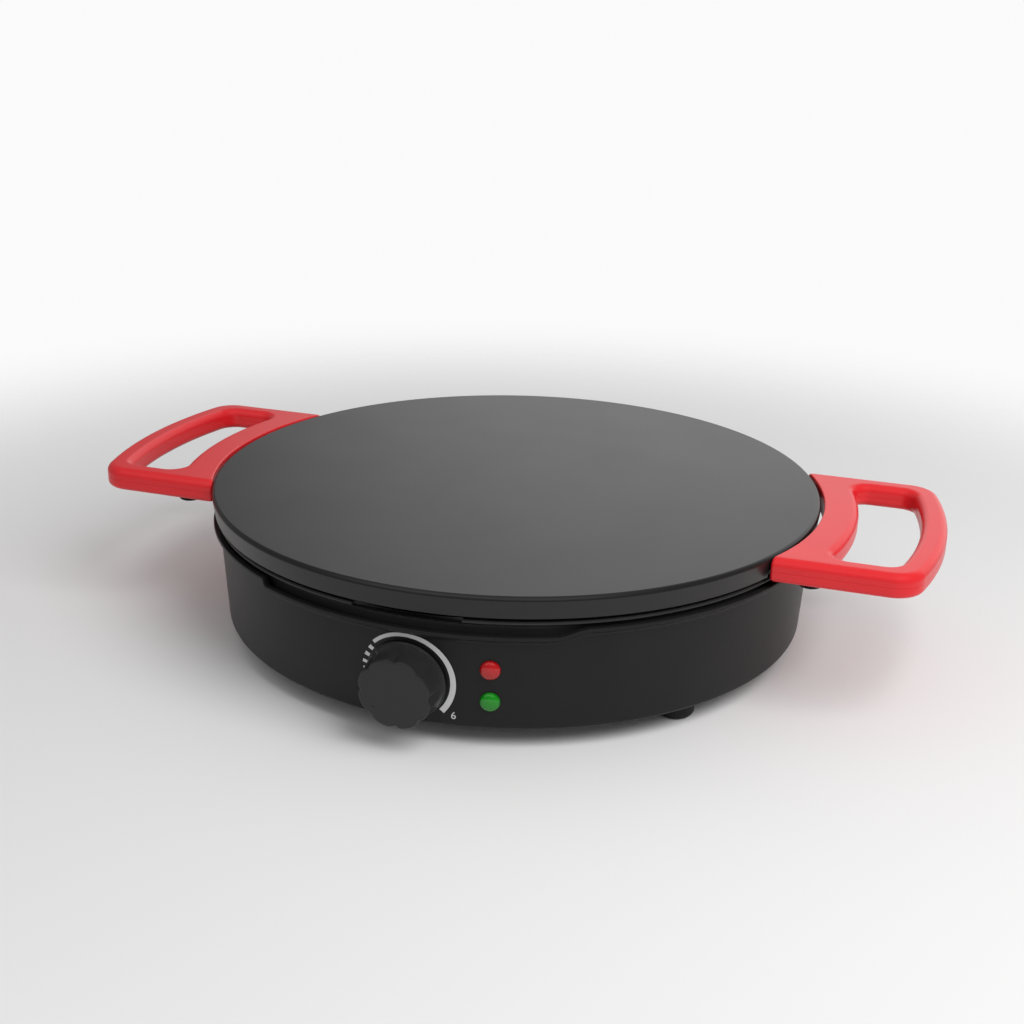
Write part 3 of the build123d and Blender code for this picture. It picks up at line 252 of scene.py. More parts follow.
def makeDome(settings):
    # the camera sees the backdrop, glossy surfaces the base or the brightest patch, matt ones the light
    world = bpy.data.worlds.new("dome")
    bpy.context.scene.world = world
    world.use_nodes = True
    tree = world.node_tree
    tree.nodes.clear()
    place = addNode(tree, "ShaderNodeTexCoord")
    mirrored = addNode(tree, "ShaderNodeValue")
    mirrored.outputs[0].default_value = settings["mirrorBase"]
    for way, start, full, strength in settings["patches"]:
        side = addNode(tree, "ShaderNodeVectorMath",
                       {"operation": "DOT_PRODUCT", 1: Vector(way).normalized()},
                       {0: place.outputs["Generated"]})
        patch = addNode(tree, "ShaderNodeMapRange",
                        {"interpolation_type": "SMOOTHSTEP", "From Min": start, "From Max": full,
                         "To Min": 0.0, "To Max": strength},
                        {"Value": side.outputs["Value"]})
        mirrored = addNode(tree, "ShaderNodeMath", {"operation": "MAXIMUM"},
                           {0: mirrored.outputs[0], 1: patch.outputs[0]})
    path = addNode(tree, "ShaderNodeLightPath")
    mirrors = addNode(tree, "ShaderNodeMath", {"operation": "ADD", "use_clamp": True},
                      {0: path.outputs["Is Glossy Ray"], 1: path.outputs["Is Transmission Ray"]})
    lit = addNode(tree, "ShaderNodeMix", {"A": settings["domeLight"]},
                  {"Factor": mirrors.outputs[0], "B": mirrored.outputs[0]})
    strength = addNode(tree, "ShaderNodeMix", {"B": settings["backdrop"]},
                       {"Factor": path.outputs["Is Camera Ray"], "A": lit.outputs[0]})
    background = addNode(tree, "ShaderNodeBackground", {"Color": (1, 1, 1, 1)},
                         {"Strength": strength.outputs[0]})
    addNode(tree, "ShaderNodeOutputWorld", links={"Surface": background.outputs[0]})


def makeLamp(settings):
    lamp = bpy.data.lights.new("softLamp", "AREA")
    lamp.shape = "DISK"
    lamp.size = settings["lampSize"]
    lamp.energy = settings["lampPower"]
    holder = bpy.data.objects.new("softLamp", lamp)
    bpy.context.scene.collection.objects.link(holder)
    holder.location = settings["lampPosition"]
    holder.rotation_euler = (-Vector(settings["lampPosition"])).to_track_quat("-Z", "Y").to_euler()
    holder.visible_glossy = False  # the dome's patches are all that mirrors


makeFloor(studio)
makeDome(studio)
makeLamp(studio)
print("studio built")


# Materials. Each has its pattern in the object's own space, sized in millimetres

firstColour, secondColour, mixedColour = 6, 7, 2  # a Mix node's sockets for colours go by number


def finishSurface(tree, shader, colour, roughness, normal):
    # a pattern's results, plugged into the shader
    tree.links.new(colour, shader.inputs["Base Color"])
    tree.links.new(roughness, shader.inputs["Roughness"])
    tree.links.new(normal, shader.inputs["Normal"])


# Cast aluminium with a sprayed PTFE non-stick coat: near black, with a satin skin that turns grey
# where it mirrors the room at a glance. The peel, really 0.3 mm across, is drawn coarser to show
coating = {
    "dark": "#151515",
    "light": "#1a1a1a",
    "gloss": 0.42,
    "sheen": (0.28, 0.34),  # roughness in the shiniest and the dullest clouds
    "cloud": 45,
    "peel": 0.9,
    "peelDepth": 0.04,
}


def makeCoated(name, settings):
    material, tree, shader = newMaterial(name, {"Specular IOR Level": settings["gloss"]})
    place = addNode(tree, "ShaderNodeTexCoord")
    peel = addNode(tree, "ShaderNodeTexNoise",
                   {"Scale": perMetre(settings["peel"]), "Detail": 3.0, "Roughness": 0.6},
                   {"Vector": place.outputs["Object"]})
    cloud = addNode(tree, "ShaderNodeTexNoise", {"Scale": perMetre(settings["cloud"]), "Detail": 2.0},
                    {"Vector": place.outputs["Object"]})
    tone = addNode(tree, "ShaderNodeMix",
                   {"data_type": "RGBA", firstColour: linear(settings["dark"]),
                    secondColour: linear(settings["light"])},
                   {0: peel.outputs[0]})
    shiny, dull = settings["sheen"]
    sheen = addNode(tree, "ShaderNodeMapRange", {"To Min": shiny, "To Max": dull},
                    {"Value": cloud.outputs[0]})
    bump = addNode(tree, "ShaderNodeBump", {"Strength": 0.12, "Distance": settings["peelDepth"] / 1000},
                   {"Height": peel.outputs[0]})
    finishSurface(tree, shader, tone.outputs[mixedColour], sheen.outputs[0], bump.outputs[0])
    return material


# What is one colour all through or has an even skin. The grain's width and depth are in
# millimetres, and a mould's real grain of 0.2 to 0.3 mm is drawn coarser so that it shows
solidSkin = {
    "mottle": 18,  # size of the faint clouds in the colour
    "swing": 0.04,  # of the roughness, either way
}
solidColours = {
    # compression-moulded and dyed through: a strong even red, with a soft shine along the rounds
    "redPhenolic": {"dark": "#e2242b", "light": "#ea2a30", "roughness": 0.30, "grain": 0.8,
                    "depth": 0.01, "gloss": 0.38},
    # injection-moulded in a finely sparked mould: a dull soft black that hardly mirrors
    "blackPolypropylene": {"dark": "#1b1b1b", "light": "#202020", "roughness": 0.40, "grain": 0.5,
                           "depth": 0.02, "gloss": 0.19},
    # compression-moulded in a polished mould: black with a sheen on its lobes
    "blackPhenolic": {"dark": "#242424", "light": "#292929", "roughness": 0.34, "grain": 0.7,
                      "depth": 0.01, "gloss": 0.34},
    # pressed sheet with a fired black coat: a touch of orange peel, and greyer at a glance
    "enamelledSteel": {"dark": "#2c2c2c", "light": "#323232", "roughness": 0.38, "grain": 1.2,
                       "depth": 0.02, "gloss": 0.3},
    # filled moulding powder: dull brown
    "brownPhenolic": {"dark": "#2a1d16", "light": "#352620", "roughness": 0.45, "grain": 0.7,
                      "depth": 0.02, "gloss": 0.5},
    # dry-pressed and fired ceramic: cream and chalky
    "steatite": {"dark": "#ded6c6", "light": "#e8e2d5", "roughness": 0.55, "grain": 0.6,
                 "depth": 0.02, "gloss": 0.5},
    # moulded rubber: flat black with no highlight
    "siliconeRubber": {"dark": "#101010", "light": "#181818", "roughness": 0.68, "grain": 0.6,
                       "depth": 0.02, "gloss": 0.35},
    # ink printed from a pad: pale grey, flat and thin
    "padPrintInk": {"dark": "#d2d2d2", "light": "#dadada", "roughness": 0.55, "grain": 0.4,
                    "depth": 0.005, "gloss": 0.3},
}


def makeSolidColour(name, settings):
    material, tree, shader = newMaterial(name, {"Specular IOR Level": settings["gloss"]})
    place = addNode(tree, "ShaderNodeTexCoord")
    mottle = addNode(tree, "ShaderNodeTexNoise", {"Scale": perMetre(solidSkin["mottle"]), "Detail": 3.0},
                     {"Vector": place.outputs["Object"]})
    grain = addNode(tree, "ShaderNodeTexNoise", {"Scale": perMetre(settings["grain"]), "Detail": 2.0},
                    {"Vector": place.outputs["Object"]})
    tone = addNode(tree, "ShaderNodeMix",
                   {"data_type": "RGBA", firstColour: linear(settings["dark"]),
                    secondColour: linear(settings["light"])},
                   {0: mottle.outputs[0]})
    roughness, swing = settings["roughness"], solidSkin["swing"]
    sheen = addNode(tree, "ShaderNodeMapRange",
                    {"To Min": roughness - swing, "To Max": roughness + swing},
                    {"Value": grain.outputs[0]})
    bump = addNode(tree, "ShaderNodeBump", {"Strength": 0.25, "Distance": settings["depth"] / 1000},
                   {"Height": grain.outputs[0]})
    finishSurface(tree, shader, tone.outputs[mixedColour], sheen.outputs[0], bump.outputs[0])
    return material


# Metals, with the lines left by rolling, drawing or turning: their spacing, and the axis they run
# along. Real lines are a tenth as wide, and are drawn coarser so that they show
metalLines = {
    "length": 25,  # times their spacing
    "depth": 0.03,
    "swing": (-0.06, 0.08),  # of the roughness
}
metals = {
    # zinc-plated: pale, faintly bluish and fairly bright
    "zincPlatedSteel": {"dark": "#a9adb0", "light": "#c3c6c8", "roughness": 0.32, "line": 0.15,
                        "along": "X"},
    # oiled black oxide: a dark metal that shines only at its edges
    "blackedSteel": {"dark": "#151515", "light": "#202020", "roughness": 0.38, "line": 0.2,
                     "along": "X"},
    # mill finish: silvery, with rolling lines
    "rolledAluminium": {"dark": "#c4c6c8", "light": "#d9dadb", "roughness": 0.34, "line": 0.2,
                        "along": "X"},
    # a heater's sheath, browned by its own heat: dull and uneven
    "oxidisedSteelSheath": {"dark": "#2c2a29", "light": "#474341", "roughness": 0.55, "line": 0.6,
                            "along": "Z"},
    # drawn tube: a warm satin
    "drawnCopper": {"dark": "#b87350", "light": "#c98663", "roughness": 0.30, "line": 0.15,
                    "along": "Y"},
    # stamped strip: yellow and bright
    "stampedBrass": {"dark": "#b89a4e", "light": "#c9ab5f", "roughness": 0.30, "line": 0.15,
                     "along": "Z"},
}


def makeMetal(name, settings):
    material, tree, shader = newMaterial(name, {"Metallic": 1.0})
    place = addNode(tree, "ShaderNodeTexCoord")
    stretch = [perMetre(settings["line"])] * 3
    stretch["XYZ".index(settings["along"])] = perMetre(settings["line"] * metalLines["length"])
    drawn = addNode(tree, "ShaderNodeMapping", {"Scale": stretch}, {"Vector": place.outputs["Object"]})
    lines = addNode(tree, "ShaderNodeTexNoise", {"Scale": 1.0, "Detail": 4.0},
                    {"Vector": drawn.outputs[0]})
    tone = addNode(tree, "ShaderNodeMix",
                   {"data_type": "RGBA", firstColour: linear(settings["dark"]),
                    secondColour: linear(settings["light"])},
                   {0: lines.outputs[0]})
    bright, dull = [settings["roughness"] + swing for swing in metalLines["swing"]]
    sheen = addNode(tree, "ShaderNodeMapRange", {"To Min": bright, "To Max": dull},
                    {"Value": lines.outputs[0]})
    bump = addNode(tree, "ShaderNodeBump", {"Strength": 0.15, "Distance": metalLines["depth"] / 1000},
                   {"Height": lines.outputs[0]})
    finishSurface(tree, shader, tone.outputs[mixedColour], sheen.outputs[0], bump.outputs[0])
    return material


# Polycarbonate lens caps: clear coloured plastic and polished, with painted shade that darkens the
# colour where the cap is seen edge on
lensPlastics = {
    # the first colour is the plastic's own, the second a painted shade for where the dome is seen edge
    # on
    "redPolycarbonate": {"deep": "#5c0408", "bright": "#bc0a10"},
    "greenPolycarbonate": {"deep": "#043406", "bright": "#048c09"},
}


def makeLensPlastic(name, settings):
    material, tree, shader = newMaterial(name, {"IOR": 1.5, "Roughness": 0.1, "Coat Weight": 0.2,
                                                "Coat Roughness": 0.04})
    # painted shade: the colour goes from the face-on red or green to the darker one as the dome turns
    # edge on
    edge = addNode(tree, "ShaderNodeLayerWeight", {"Blend": 0.35})
    tone = addNode(tree, "ShaderNodeMix",
                   {"data_type": "RGBA", firstColour: linear(settings["bright"]),
                    secondColour: linear(settings["deep"])},
                   {0: edge.outputs["Facing"]})
    tree.links.new(tone.outputs[mixedColour], shader.inputs["Base Color"])
    return material


finishes = {"ptfeCoatedAluminium": makeCoated("ptfeCoatedAluminium", coating)}
makers = ((makeSolidColour, solidColours), (makeMetal, metals), (makeLensPlastic, lensPlastics))
for make, kinds in makers:
    for name, settings in kinds.items():
        finishes[name] = make(name, settings)

# which nodes each one is on; a name that ends in _ stands for all that start with it
wearers = {
    "ptfeCoatedAluminium": ("griddle_plate",),
    "redPhenolic": ("handle_top_", "handle_bottom_"),
    "blackPolypropylene": ("housing", "gland_nut"),
    "blackPhenolic": ("knob",),
    "enamelledSteel": ("collar", "bottom_cover", "handle_bracket_"),
    "brownPhenolic": ("thermostat_body",),
    "steatite": ("plate_peg_", "element_bushes", "pilot_lamp_", "terminal_block"),
    "siliconeRubber": ("foot_front_", "foot_rear_", "cord_gland"),
    "zincPlatedSteel": ("element_clips", "shield_posts", "shield_rivets", "probe_clip", "probe_spring",
                        "thermostat_spindle", "thermostat_screws", "knob_clip", "fuse_clip",
                        "foot_screws", "bracket_screws", "pan_screws"),
    "blackedSteel": ("cover_screws", "handle_screws"),
    "rolledAluminium": ("reflector_pan", "heat_shield", "probe", "probe_guide", "thermal_fuse"),
    "oxidisedSteelSheath": ("heating_element",),
    "drawnCopper": ("capillary_tube",),
    "stampedBrass": ("element_tabs", "terminal_screws"),
    "redPolycarbonate": ("pilot_lens_red",),
    "greenPolycarbonate": ("pilot_lens_green",),
}
finishOf = {}
for finish, starts in wearers.items():
    for start in starts:
        for name in nodes:
            if name == start or (start.endswith("_") and name.startswith(start)):
                finishOf[name] = finish
for name, node in nodes.items():
    node.data.materials.clear()
    node.data.materials.append(finishes[finishOf[name]])
print("materials made:", len(finishes))


# Griddle plate: a flat cooking face with a rounded edge and a deep skirt, slotted for the straps

griddle = {
    "taper": 1.1,  # of the skirt, all the way down
    "footGap": 2.0,  # over the collar
    "skirtWall": 4.0,
    "thickness": 6.0,
    "edgeRound": 2.3,
    "edgeStart": 16,  # the slope at which the edge leaves the cooking face
    "edgeSteps": 10,
    "footRound": 0.5,
    "slotAngles": (17.8, 24.1),  # either side of each handle's middle
    "slotGap": 0.2,  # over the strap
    "pegBoss": (8.0, 4.5, 6.0),  # radius, bore and height
    "strapBoss": (6.0, 1.0),  # radius and height
    "strapBossInset": (6.5, 7.5),  # from the strap's inner end and its sides
    "bossRoot": 1.0,  # how far a boss runs into the plate
    "segments": 360,
}


def makeGriddle(settings):
    high = nodeBox("griddle_plate")[1]
    radius, top = high.x, high.z
    under = top - settings["thickness"]
    bottom = nodeBox("collar")[1].z + settings["footGap"]
    slotTop = nodeBox("handle_bracket_right")[1].z + settings["slotGap"]
    slant = settings["taper"] / (top - bottom)
    inner = radius - settings["skirtWall"]
    first, last = settings["slotAngles"]
    slots = [(turn + sign * first, turn + sign * last) for turn in (0, 180) for sign in (1, -1)]
    bend, start, small = settings["edgeRound"], settings["edgeStart"], settings["footRound"]
    edge = arc(radius - bend, top - bend * math.cos(math.radians(start)), bend,
               even(0, 90 - start, settings["edgeSteps"]))

    def profile(angle):
        signed = angle - 360 if angle > 270 else angle
        inSlot = any(min(slot) < signed < max(slot) for slot in slots)
        foot = slotTop if inSlot else bottom
        toe = radius - slant * (top - foot)
        inside = [(inner, under), (inner - slant * (under - foot), foot)]
        return inside + arc(toe - small, foot + small, small, even(-90, 0, 3)) + edge

    def build(work):
        nudge = 0.01  # each slot's side is a step this wide
        steps = [side + d for slot in slots for side in slot for d in (-nudge, nudge)]
        sections = []
        for angle in spread(settings["segments"], steps):
            sections.append([onCircle(angle, r, h) for r, h in profile(angle)])
        skin(work, sections)
        root = under + settings["bossRoot"]
        bossRadius, bore, rise = settings["pegBoss"]
        for number in (1, 2, 3, 4):
            pegLow, pegHigh = nodeBox(f"plate_peg_{number}")
            addTube(work, (pegLow + pegHigh) / 2, bossRadius, bore, under - rise, root)
        bossRadius, rise = settings["strapBoss"]
        fromEnd, fromSide = settings["strapBossInset"]
        for side in ("right", "left"):
            strapLow, strapHigh = nodeBox(f"handle_bracket_{side}")
            end = min(strapLow.x, strapHigh.x, key=abs)
            x = end + math.copysign(fromEnd, end)
            for y in (strapLow.y + fromSide, strapHigh.y - fromSide):
                addTube(work, (x, y), bossRadius, 0, under - rise, root)

    piece = meshObject("griddle", build)
    dress(piece, "ptfeCoatedAluminium", "plate", ["griddle_plate"], 12)


makeGriddle(griddle)
print("griddle plate built")


# Housing: the sloping wall that flares into a lip, with a notch across the front of the lip

shell = {
    "draft": 3.2,
    "overhang": 3.2,  # of the lip past the wall
    "draftTop": 3.6,  # from the lip's top down to where the wall's radius is measured
    "wall": 2.5,
    "footRound": 2.0,
    "lipFace": 1.1,
    "lipRound": 0.55,
    "flare": 3.6,  # its height
    "flareBend": 2.2,  # the power by which it grows
    "flareSteps": 12,
    "notchDepth": 3.5,
    "notchStart": -29.6,  # bearings from the front
    "steepTurn": 0.9,
    "steepSteps": 16,
    "rampTurns": (24.4, 30.2),
    "shelf": (142.0, 47.5, 50.0),  # inner radius and levels
    "columns": (8.0, 139.0, 51.8),  # radius, circle and bearing
    "bosses": (5.0, 147.0, 70.0),
    "columnFoot": 14.0,
    "segments": 360,
}
lipTop = nodeBox("housing")[1].z
lipRadius = nodeBox("housing")[1].x


def wallRadius(height):
    # outer radius of the housing's wall at a height
    return (lipRadius - shell["overhang"]
            - (lipTop - shell["draftTop"] - height) * math.tan(math.radians(shell["draft"])))


def flaredRadius(height, level, settings):
    # outer radius at a height, where the wall flares out to the lip that ends at this level
    faceLow = level - settings["lipRound"] - settings["lipFace"]
    t = max(1 - (faceLow - height) / settings["flare"], 0.0)
    return wallRadius(height) + (lipRadius - wallRadius(height)) * t ** settings["flareBend"]


def lipLevel(bearing, settings):
    # the lip drops steeply at one end of the notch and ramps back up at the other
    halfTurn = settings["steepTurn"] / 2
    down = smoothStep(bearing, settings["notchStart"] - halfTurn, settings["notchStart"] + halfTurn)
    return lipTop - settings["notchDepth"] * down * (1 - smoothStep(bearing, *settings["rampTurns"]))


def shellSection(level, settings):
    # one closed outline of the wall as (radius, height), from the inner foot round to the inner lip
    foot = nodeBox("housing")[0].z
    curl, small, wall = settings["footRound"], settings["lipRound"], settings["wall"]
    footRadius = wallRadius(foot + curl)
    faceLow = level - small - settings["lipFace"]
    flareLow = faceLow - settings["flare"]
    line = [(footRadius - wall, foot)]
    line += arc(footRadius - curl, foot + curl, curl, even(-90, 0, 6))
    line += [(flaredRadius(height, level, settings), height)
             for height in even(flareLow, faceLow, settings["flareSteps"])]
    line += arc(lipRadius - small, level - small, small, even(0, 90, 5))
    return line + [(lipRadius - wall, level), (wallRadius(flareLow) - wall, flareLow)]


def makeShell(settings):
    start, halfTurn = settings["notchStart"], settings["steepTurn"] * 0.55  # a little past the drop
    fine = even(start - halfTurn, start + halfTurn, settings["steepSteps"])

    def build(work):
        sections = []
        for bearing in spread(settings["segments"], fine):
            signed = bearing - 360 if bearing > 180 else bearing
            section = shellSection(lipLevel(signed, settings), settings)
            sections.append([onCircle(bearing - 90, r, h) for r, h in section])
        skin(work, sections, loop=True)
        inner, low, high = settings["shelf"]
        outer = wallRadius(low) - settings["wall"] / 2
        addTube(work, (0, 0), outer, inner, low, high, settings["segments"])
        for radius, circle, bearing in (settings["columns"], settings["bosses"]):
            for turned in (bearing, 180 - bearing, 180 + bearing, -bearing):
                addTube(work, onCircle(turned - 90, circle), radius, 0, settings["columnFoot"], high)

    piece = meshObject("housingShell", build)
    dress(piece, "blackPolypropylene", "base", ["housing"], 40)


makeShell(shell)
print("housing built")


# Handles: two shells each, on a tongue between two arcs, with a finger hole through both

handle = {
    "gap": 0.4,  # from the plate's edge at the roots
    "hollow": 1.3,  # more than that halfway between them
    "corner": 15.5,
    "rootCorner": 1.4,  # where the sides meet the arc by the plate
    "sideBar": 12.4,
    "bridge": 18.6,
    "grip": 12.7,
    "holeCorner": 8.0,
    "rounds": {"top": {"side": 4.2, "root": 0.9, "hole": 4.0, "seam": 0.05},
               "bottom": {"side": 2.6, "root": 1.2, "hole": 3.6, "seam": 0.18}},
    "roundRings": (0, 9, 18, 27, 36, 45, 54, 62, 69, 75, 80, 84, 87.5, 90),  # how far round each is
    "steps": {"outer": 40, "corner": 18, "side": 12, "rootCorner": 14, "inner": 48},
    "shy": 0.1,  # both long arcs stop this short of their corners, so that no points meet
}


def tongue(settings, inner, outer, half, nearCorner, farCorner, hollow=0.0):
    # the outline anticlockwise from above, with as many points whatever its sizes. The inner arc
    # bends a little tighter than the plate where it is hollow
    steps, shy = settings["steps"], settings["shy"]
    farX = math.sqrt((outer - farCorner) ** 2 - (half - farCorner) ** 2)
    nearX = math.sqrt((inner + nearCorner) ** 2 - (half - nearCorner) ** 2)
    farTurn = math.degrees(math.atan2(half - farCorner, farX))
    nearTurn = math.degrees(math.atan2(half - nearCorner, nearX))
    endX, endY = onCircle(nearTurn, inner)[:2]
    middle = inner + hollow
    bendX = (middle ** 2 - inner ** 2) / 2 / (middle - endX)
    bendTurn = math.degrees(math.atan2(endY, endX - bendX))
    side = even(farX, nearX, steps["side"])[1:-1]

    points = arc(0, 0, outer, even(shy - farTurn, farTurn - shy, steps["outer"]))
    points += arc(farX, half - farCorner, farCorner, even(farTurn, 90, steps["corner"]))
    points += [(x, half) for x in side]
    points += arc(nearX, half - nearCorner, nearCorner, even(90, 180 + nearTurn, steps["rootCorner"]))
    points += arc(bendX, 0, middle - bendX, even(bendTurn - shy, shy - bendTurn, steps["inner"]))
    points += arc(nearX, nearCorner - half, nearCorner, even(180 - nearTurn, 270, steps["rootCorner"]))
    points += [(x, -half) for x in reversed(side)]
    points += arc(farX, farCorner - half, farCorner, even(-90, -farTurn, steps["corner"]))
    return points


def roundInset(radius, depth):
    # how far a rounded edge has drawn in at a depth below the face
    return radius - math.sqrt(radius ** 2 - (radius - depth) ** 2) if depth < radius else 0.0


def makeHandle(side, part, settings):
    # one of the shells: rings of both outlines from the seam to the flat face, then that face
    low, high = nodeBox(f"handle_{part}_right")
    inner = nodeBox("griddle_plate")[1].x + settings["gap"]
    outer, half = high.x, high.y
    seam, face = (low.z, high.z) if part == "top" else (high.z, low.z)
    sign, way = (1 if side == "right" else -1), (1 if part == "top" else -1)
    rounds = settings["rounds"][part]
    holeInner, holeOuter = inner + settings["bridge"], outer - settings["grip"]
    holeHalf = half - settings["sideBar"]
    # each ring's level, with the bevel at the seam or the depth below the face
    levels = [(seam, rounds["seam"], None), (seam + way * rounds["seam"], 0.0, None)]
    biggest = max(rounds["side"], rounds["hole"])
    for a in settings["roundRings"]:
        depth = biggest * (1 - math.sin(math.radians(a)))
        levels.append((face - way * depth, None, depth))

    def outside(bevel, depth):
        s = bevel if depth is None else roundInset(rounds["side"], depth)
        r = bevel if depth is None else roundInset(rounds["root"], depth)
        return tongue(settings, inner + r, outer - s, half - s, settings["rootCorner"],
                      settings["corner"] - s, settings["hollow"])

    def hole(bevel, depth):
        s = bevel if depth is None else roundInset(rounds["hole"], depth)
        corner = settings["holeCorner"] + s
        return tongue(settings, holeInner - s, holeOuter + s, holeHalf + s, corner, corner)

    def build(work):
        seamAndFace = []
        for outline in (outside, hole):
            rings = [[work.verts.new((sign * x, y, level)) for x, y in outline(bevel, depth)]
                     for level, bevel, depth in levels]
            for here, there in zip(rings, rings[1:]):
                for i in range(len(here)):
                    j = (i + 1) % len(here)
                    work.faces.new((here[i], here[j], there[j], there[i]))
            seamAndFace.append((rings[0], rings[-1]))
        for outsideRing, holeRing in zip(*seamAndFace):
            edges = []
            for ring in (outsideRing, holeRing):
                edges += [work.edges.get(ends) for ends in zip(ring, ring[1:] + ring[:1])]
            bmesh.ops.triangle_fill(work, use_beauty=True, edges=edges)

    piece = meshObject(f"handle{part.capitalize()}{side.capitalize()}", build)
    dress(piece, "redPhenolic", "plate", [f"handle_{part}_{side}"])


for side in ("right", "left"):
    for part in ("top", "bottom"):
        makeHandle(side, part, handle)
print("handles built")


# Knob: a cone that spreads into its base, with soft notches that fade away from the face

knobShape = {
    "axisHeight": 31.4,
    "back": 0.8,
    "front": 15.5,
    "baseRadius": 19.2,
    "backRound": 0.4,
    "baseFade": ((0.0, 0.7), (0.15, 0.2)),  # how far the base draws in, this far from the shoulder
    "shoulder": (18.7, 2.4),  # radius and how far off the wall
    "coneSteps": 12,
    "faceRadius": 17.4,
    "faceStep": 0.45,  # between the face's rings
    "edgeRound": 0.7,
    "edgeRings": (22, 45, 68, 90),  # how far round it each is
    "dome": 0.35,
    "notches": 8,
    "notchDepth": 1.25,
    "notchWidth": 2.1,
    "notchFade": 0.8,  # the power by which they grow towards the face
    "dimple": (1.2, 12.0, 216.0, 0.45),  # radius, distance, bearing and depth
    "segments": 320,
}
tilt = math.radians(shell["draft"])
# from the knob's own frame, with its axis on Z, to its place on the wall
knobFrame = Matrix((
    (1, 0, 0, 0),
    (0, -math.sin(tilt), -math.cos(tilt), -wallRadius(knobShape["axisHeight"])),
    (0, math.cos(tilt), -math.sin(tilt), knobShape["axisHeight"]),
    (0, 0, 0, 1),
))


def makeKnob(settings):
    base, back, front = settings["baseRadius"], settings["back"], settings["front"]
    shoulderRadius, shoulder = settings["shoulder"]
    faceRadius, faceStep = settings["faceRadius"], settings["faceStep"]
    bend = settings["edgeRound"]
    flatRadius = faceRadius - bend
    dimpleRadius, dimpleReach, dimpleTurn, dimpleDepth = settings["dimple"]
    dimple = Vector(onCircle(dimpleTurn, dimpleReach)[:2])

    def notch(angle, height):
        step = 360 / settings["notches"]
        off = (angle - 90 + step / 2) % step - step / 2
        along = math.radians(off) * faceRadius
        depth = settings["notchDepth"] * smoothStep(height, shoulder, front) ** settings["notchFade"]
        return depth * math.exp(-(along / settings["notchWidth"]) ** 2)

    rows = [(base - settings["backRound"], back), (base, back + settings["backRound"])]
    rows += [(base - inset, shoulder - behind) for inset, behind in settings["baseFade"]]
    rows += [(shoulderRadius + (faceRadius - shoulderRadius) * t,
              shoulder + (front - bend - shoulder) * t) for t in even(0, 1, settings["coneSteps"])]
    rows += arc(flatRadius, front - bend, bend, settings["edgeRings"])
    faceRows = [flatRadius - faceStep * i for i in range(1, int(flatRadius / faceStep))]

    def build(work):
        sections = []
        for angle in spread(settings["segments"]):
            section = [onCircle(angle, r - notch(angle, h), h) for r, h in rows]
            edge = flatRadius - notch(angle, front)
            for radius in faceRows:
                domed = front + settings["dome"] * (1 - (radius / faceRadius) ** 2)
                x, y, z = onCircle(angle, radius * edge / flatRadius, domed)
                away = (Vector((x, y)) - dimple).length / dimpleRadius
                if away < 1:
                    z -= dimpleDepth * (1 - away * away) ** 1.5
                section.append((x, y, z))
            sections.append(section)
        skin(work, sections)
        bmesh.ops.transform(work, matrix=knobFrame, verts=work.verts)

    piece = meshObject("knobGrip", build)
    dress(piece, "blackPhenolic", "knob", ["knob"], 50)


makeKnob(knobShape)
print("knob built")


# Dial: printed on the wall round the knob. A dot, three dashes, then an arc that grows wider, and a
# number at its end. Places are radii and turns about the knob's axis, anticlockwise from its right

dial = {
    "film": 0.06,  # how far the ink stands off the wall and reaches into it
    "arcTurns": (135.5, -41.5),
    "arcInner": (21.3, 20.7, 20.2),  # at its start, middle and end
    "arcOuter": 23.0,
    "arcSteps": 180,
    "dashes": ((144.2, 2.1), (155.8, 2.0), (167.2, 1.7)),  # turn and width
    "dashInner": 19.9,
    "dashOuter": 22.3,
    "dashSteps": 4,
    "dot": (176.4, 21.2, 0.6),  # turn, distance and radius
    "dotSteps": 20,
    "number": "6",
    "numberSize": 5.2,
    "numberCurve": 6,  # how finely its curves are cut
    "numberWeld": 0.0005,
    "numberPlace": (21.6, -16.2),
}


def onWall(across, up, proud):
    # the point of the wall at a place round the knob's axis, lifted off it
    height = knobShape["axisHeight"] + up * math.cos(tilt)
    radius = flaredRadius(height, lipTop - shell["notchDepth"], shell) + proud
    return (across, -math.sqrt(radius * radius - across * across), height)


def makeScale(settings):
    film = settings["film"]

    def strip(work, line, outer):
        # a closed band, from its turns and inner radii
        sections = []
        for turn, inner in line:
            near, far = onCircle(turn, inner)[:2], onCircle(turn, outer)[:2]
            sections.append([onWall(*near, -film), onWall(*near, film), onWall(*far, film),
                             onWall(*far, -film)])
        skin(work, sections, loop=True, around=False)

    def arcInner(t):
        first, middle, last = settings["arcInner"]
        if t < 0.5:
            return first + (middle - first) * t * 2
        return middle + (last - middle) * (t * 2 - 1)

    def build(work):
        start, end = settings["arcTurns"]
        line = [(start + (end - start) * t, arcInner(t)) for t in even(0, 1, settings["arcSteps"])]
        strip(work, line, settings["arcOuter"])
        for turn, width in settings["dashes"]:
            half = math.degrees(width / 2 / settings["dashOuter"])
            turns = even(turn + half, turn - half, settings["dashSteps"])
            strip(work, [(turned, settings["dashInner"]) for turned in turns], settings["dashOuter"])
        turn, reach, radius = settings["dot"]
        middleX, middleY = onCircle(turn, reach)[:2]
        edge = arc(middleX, middleY, radius, spread(settings["dotSteps"]))
        skin(work, [[onWall(x, y, -film), onWall(x, y, film)] for x, y in edge])

    piece = meshObject("dialScale", build)
    dress(piece, "padPrintInk", "base")


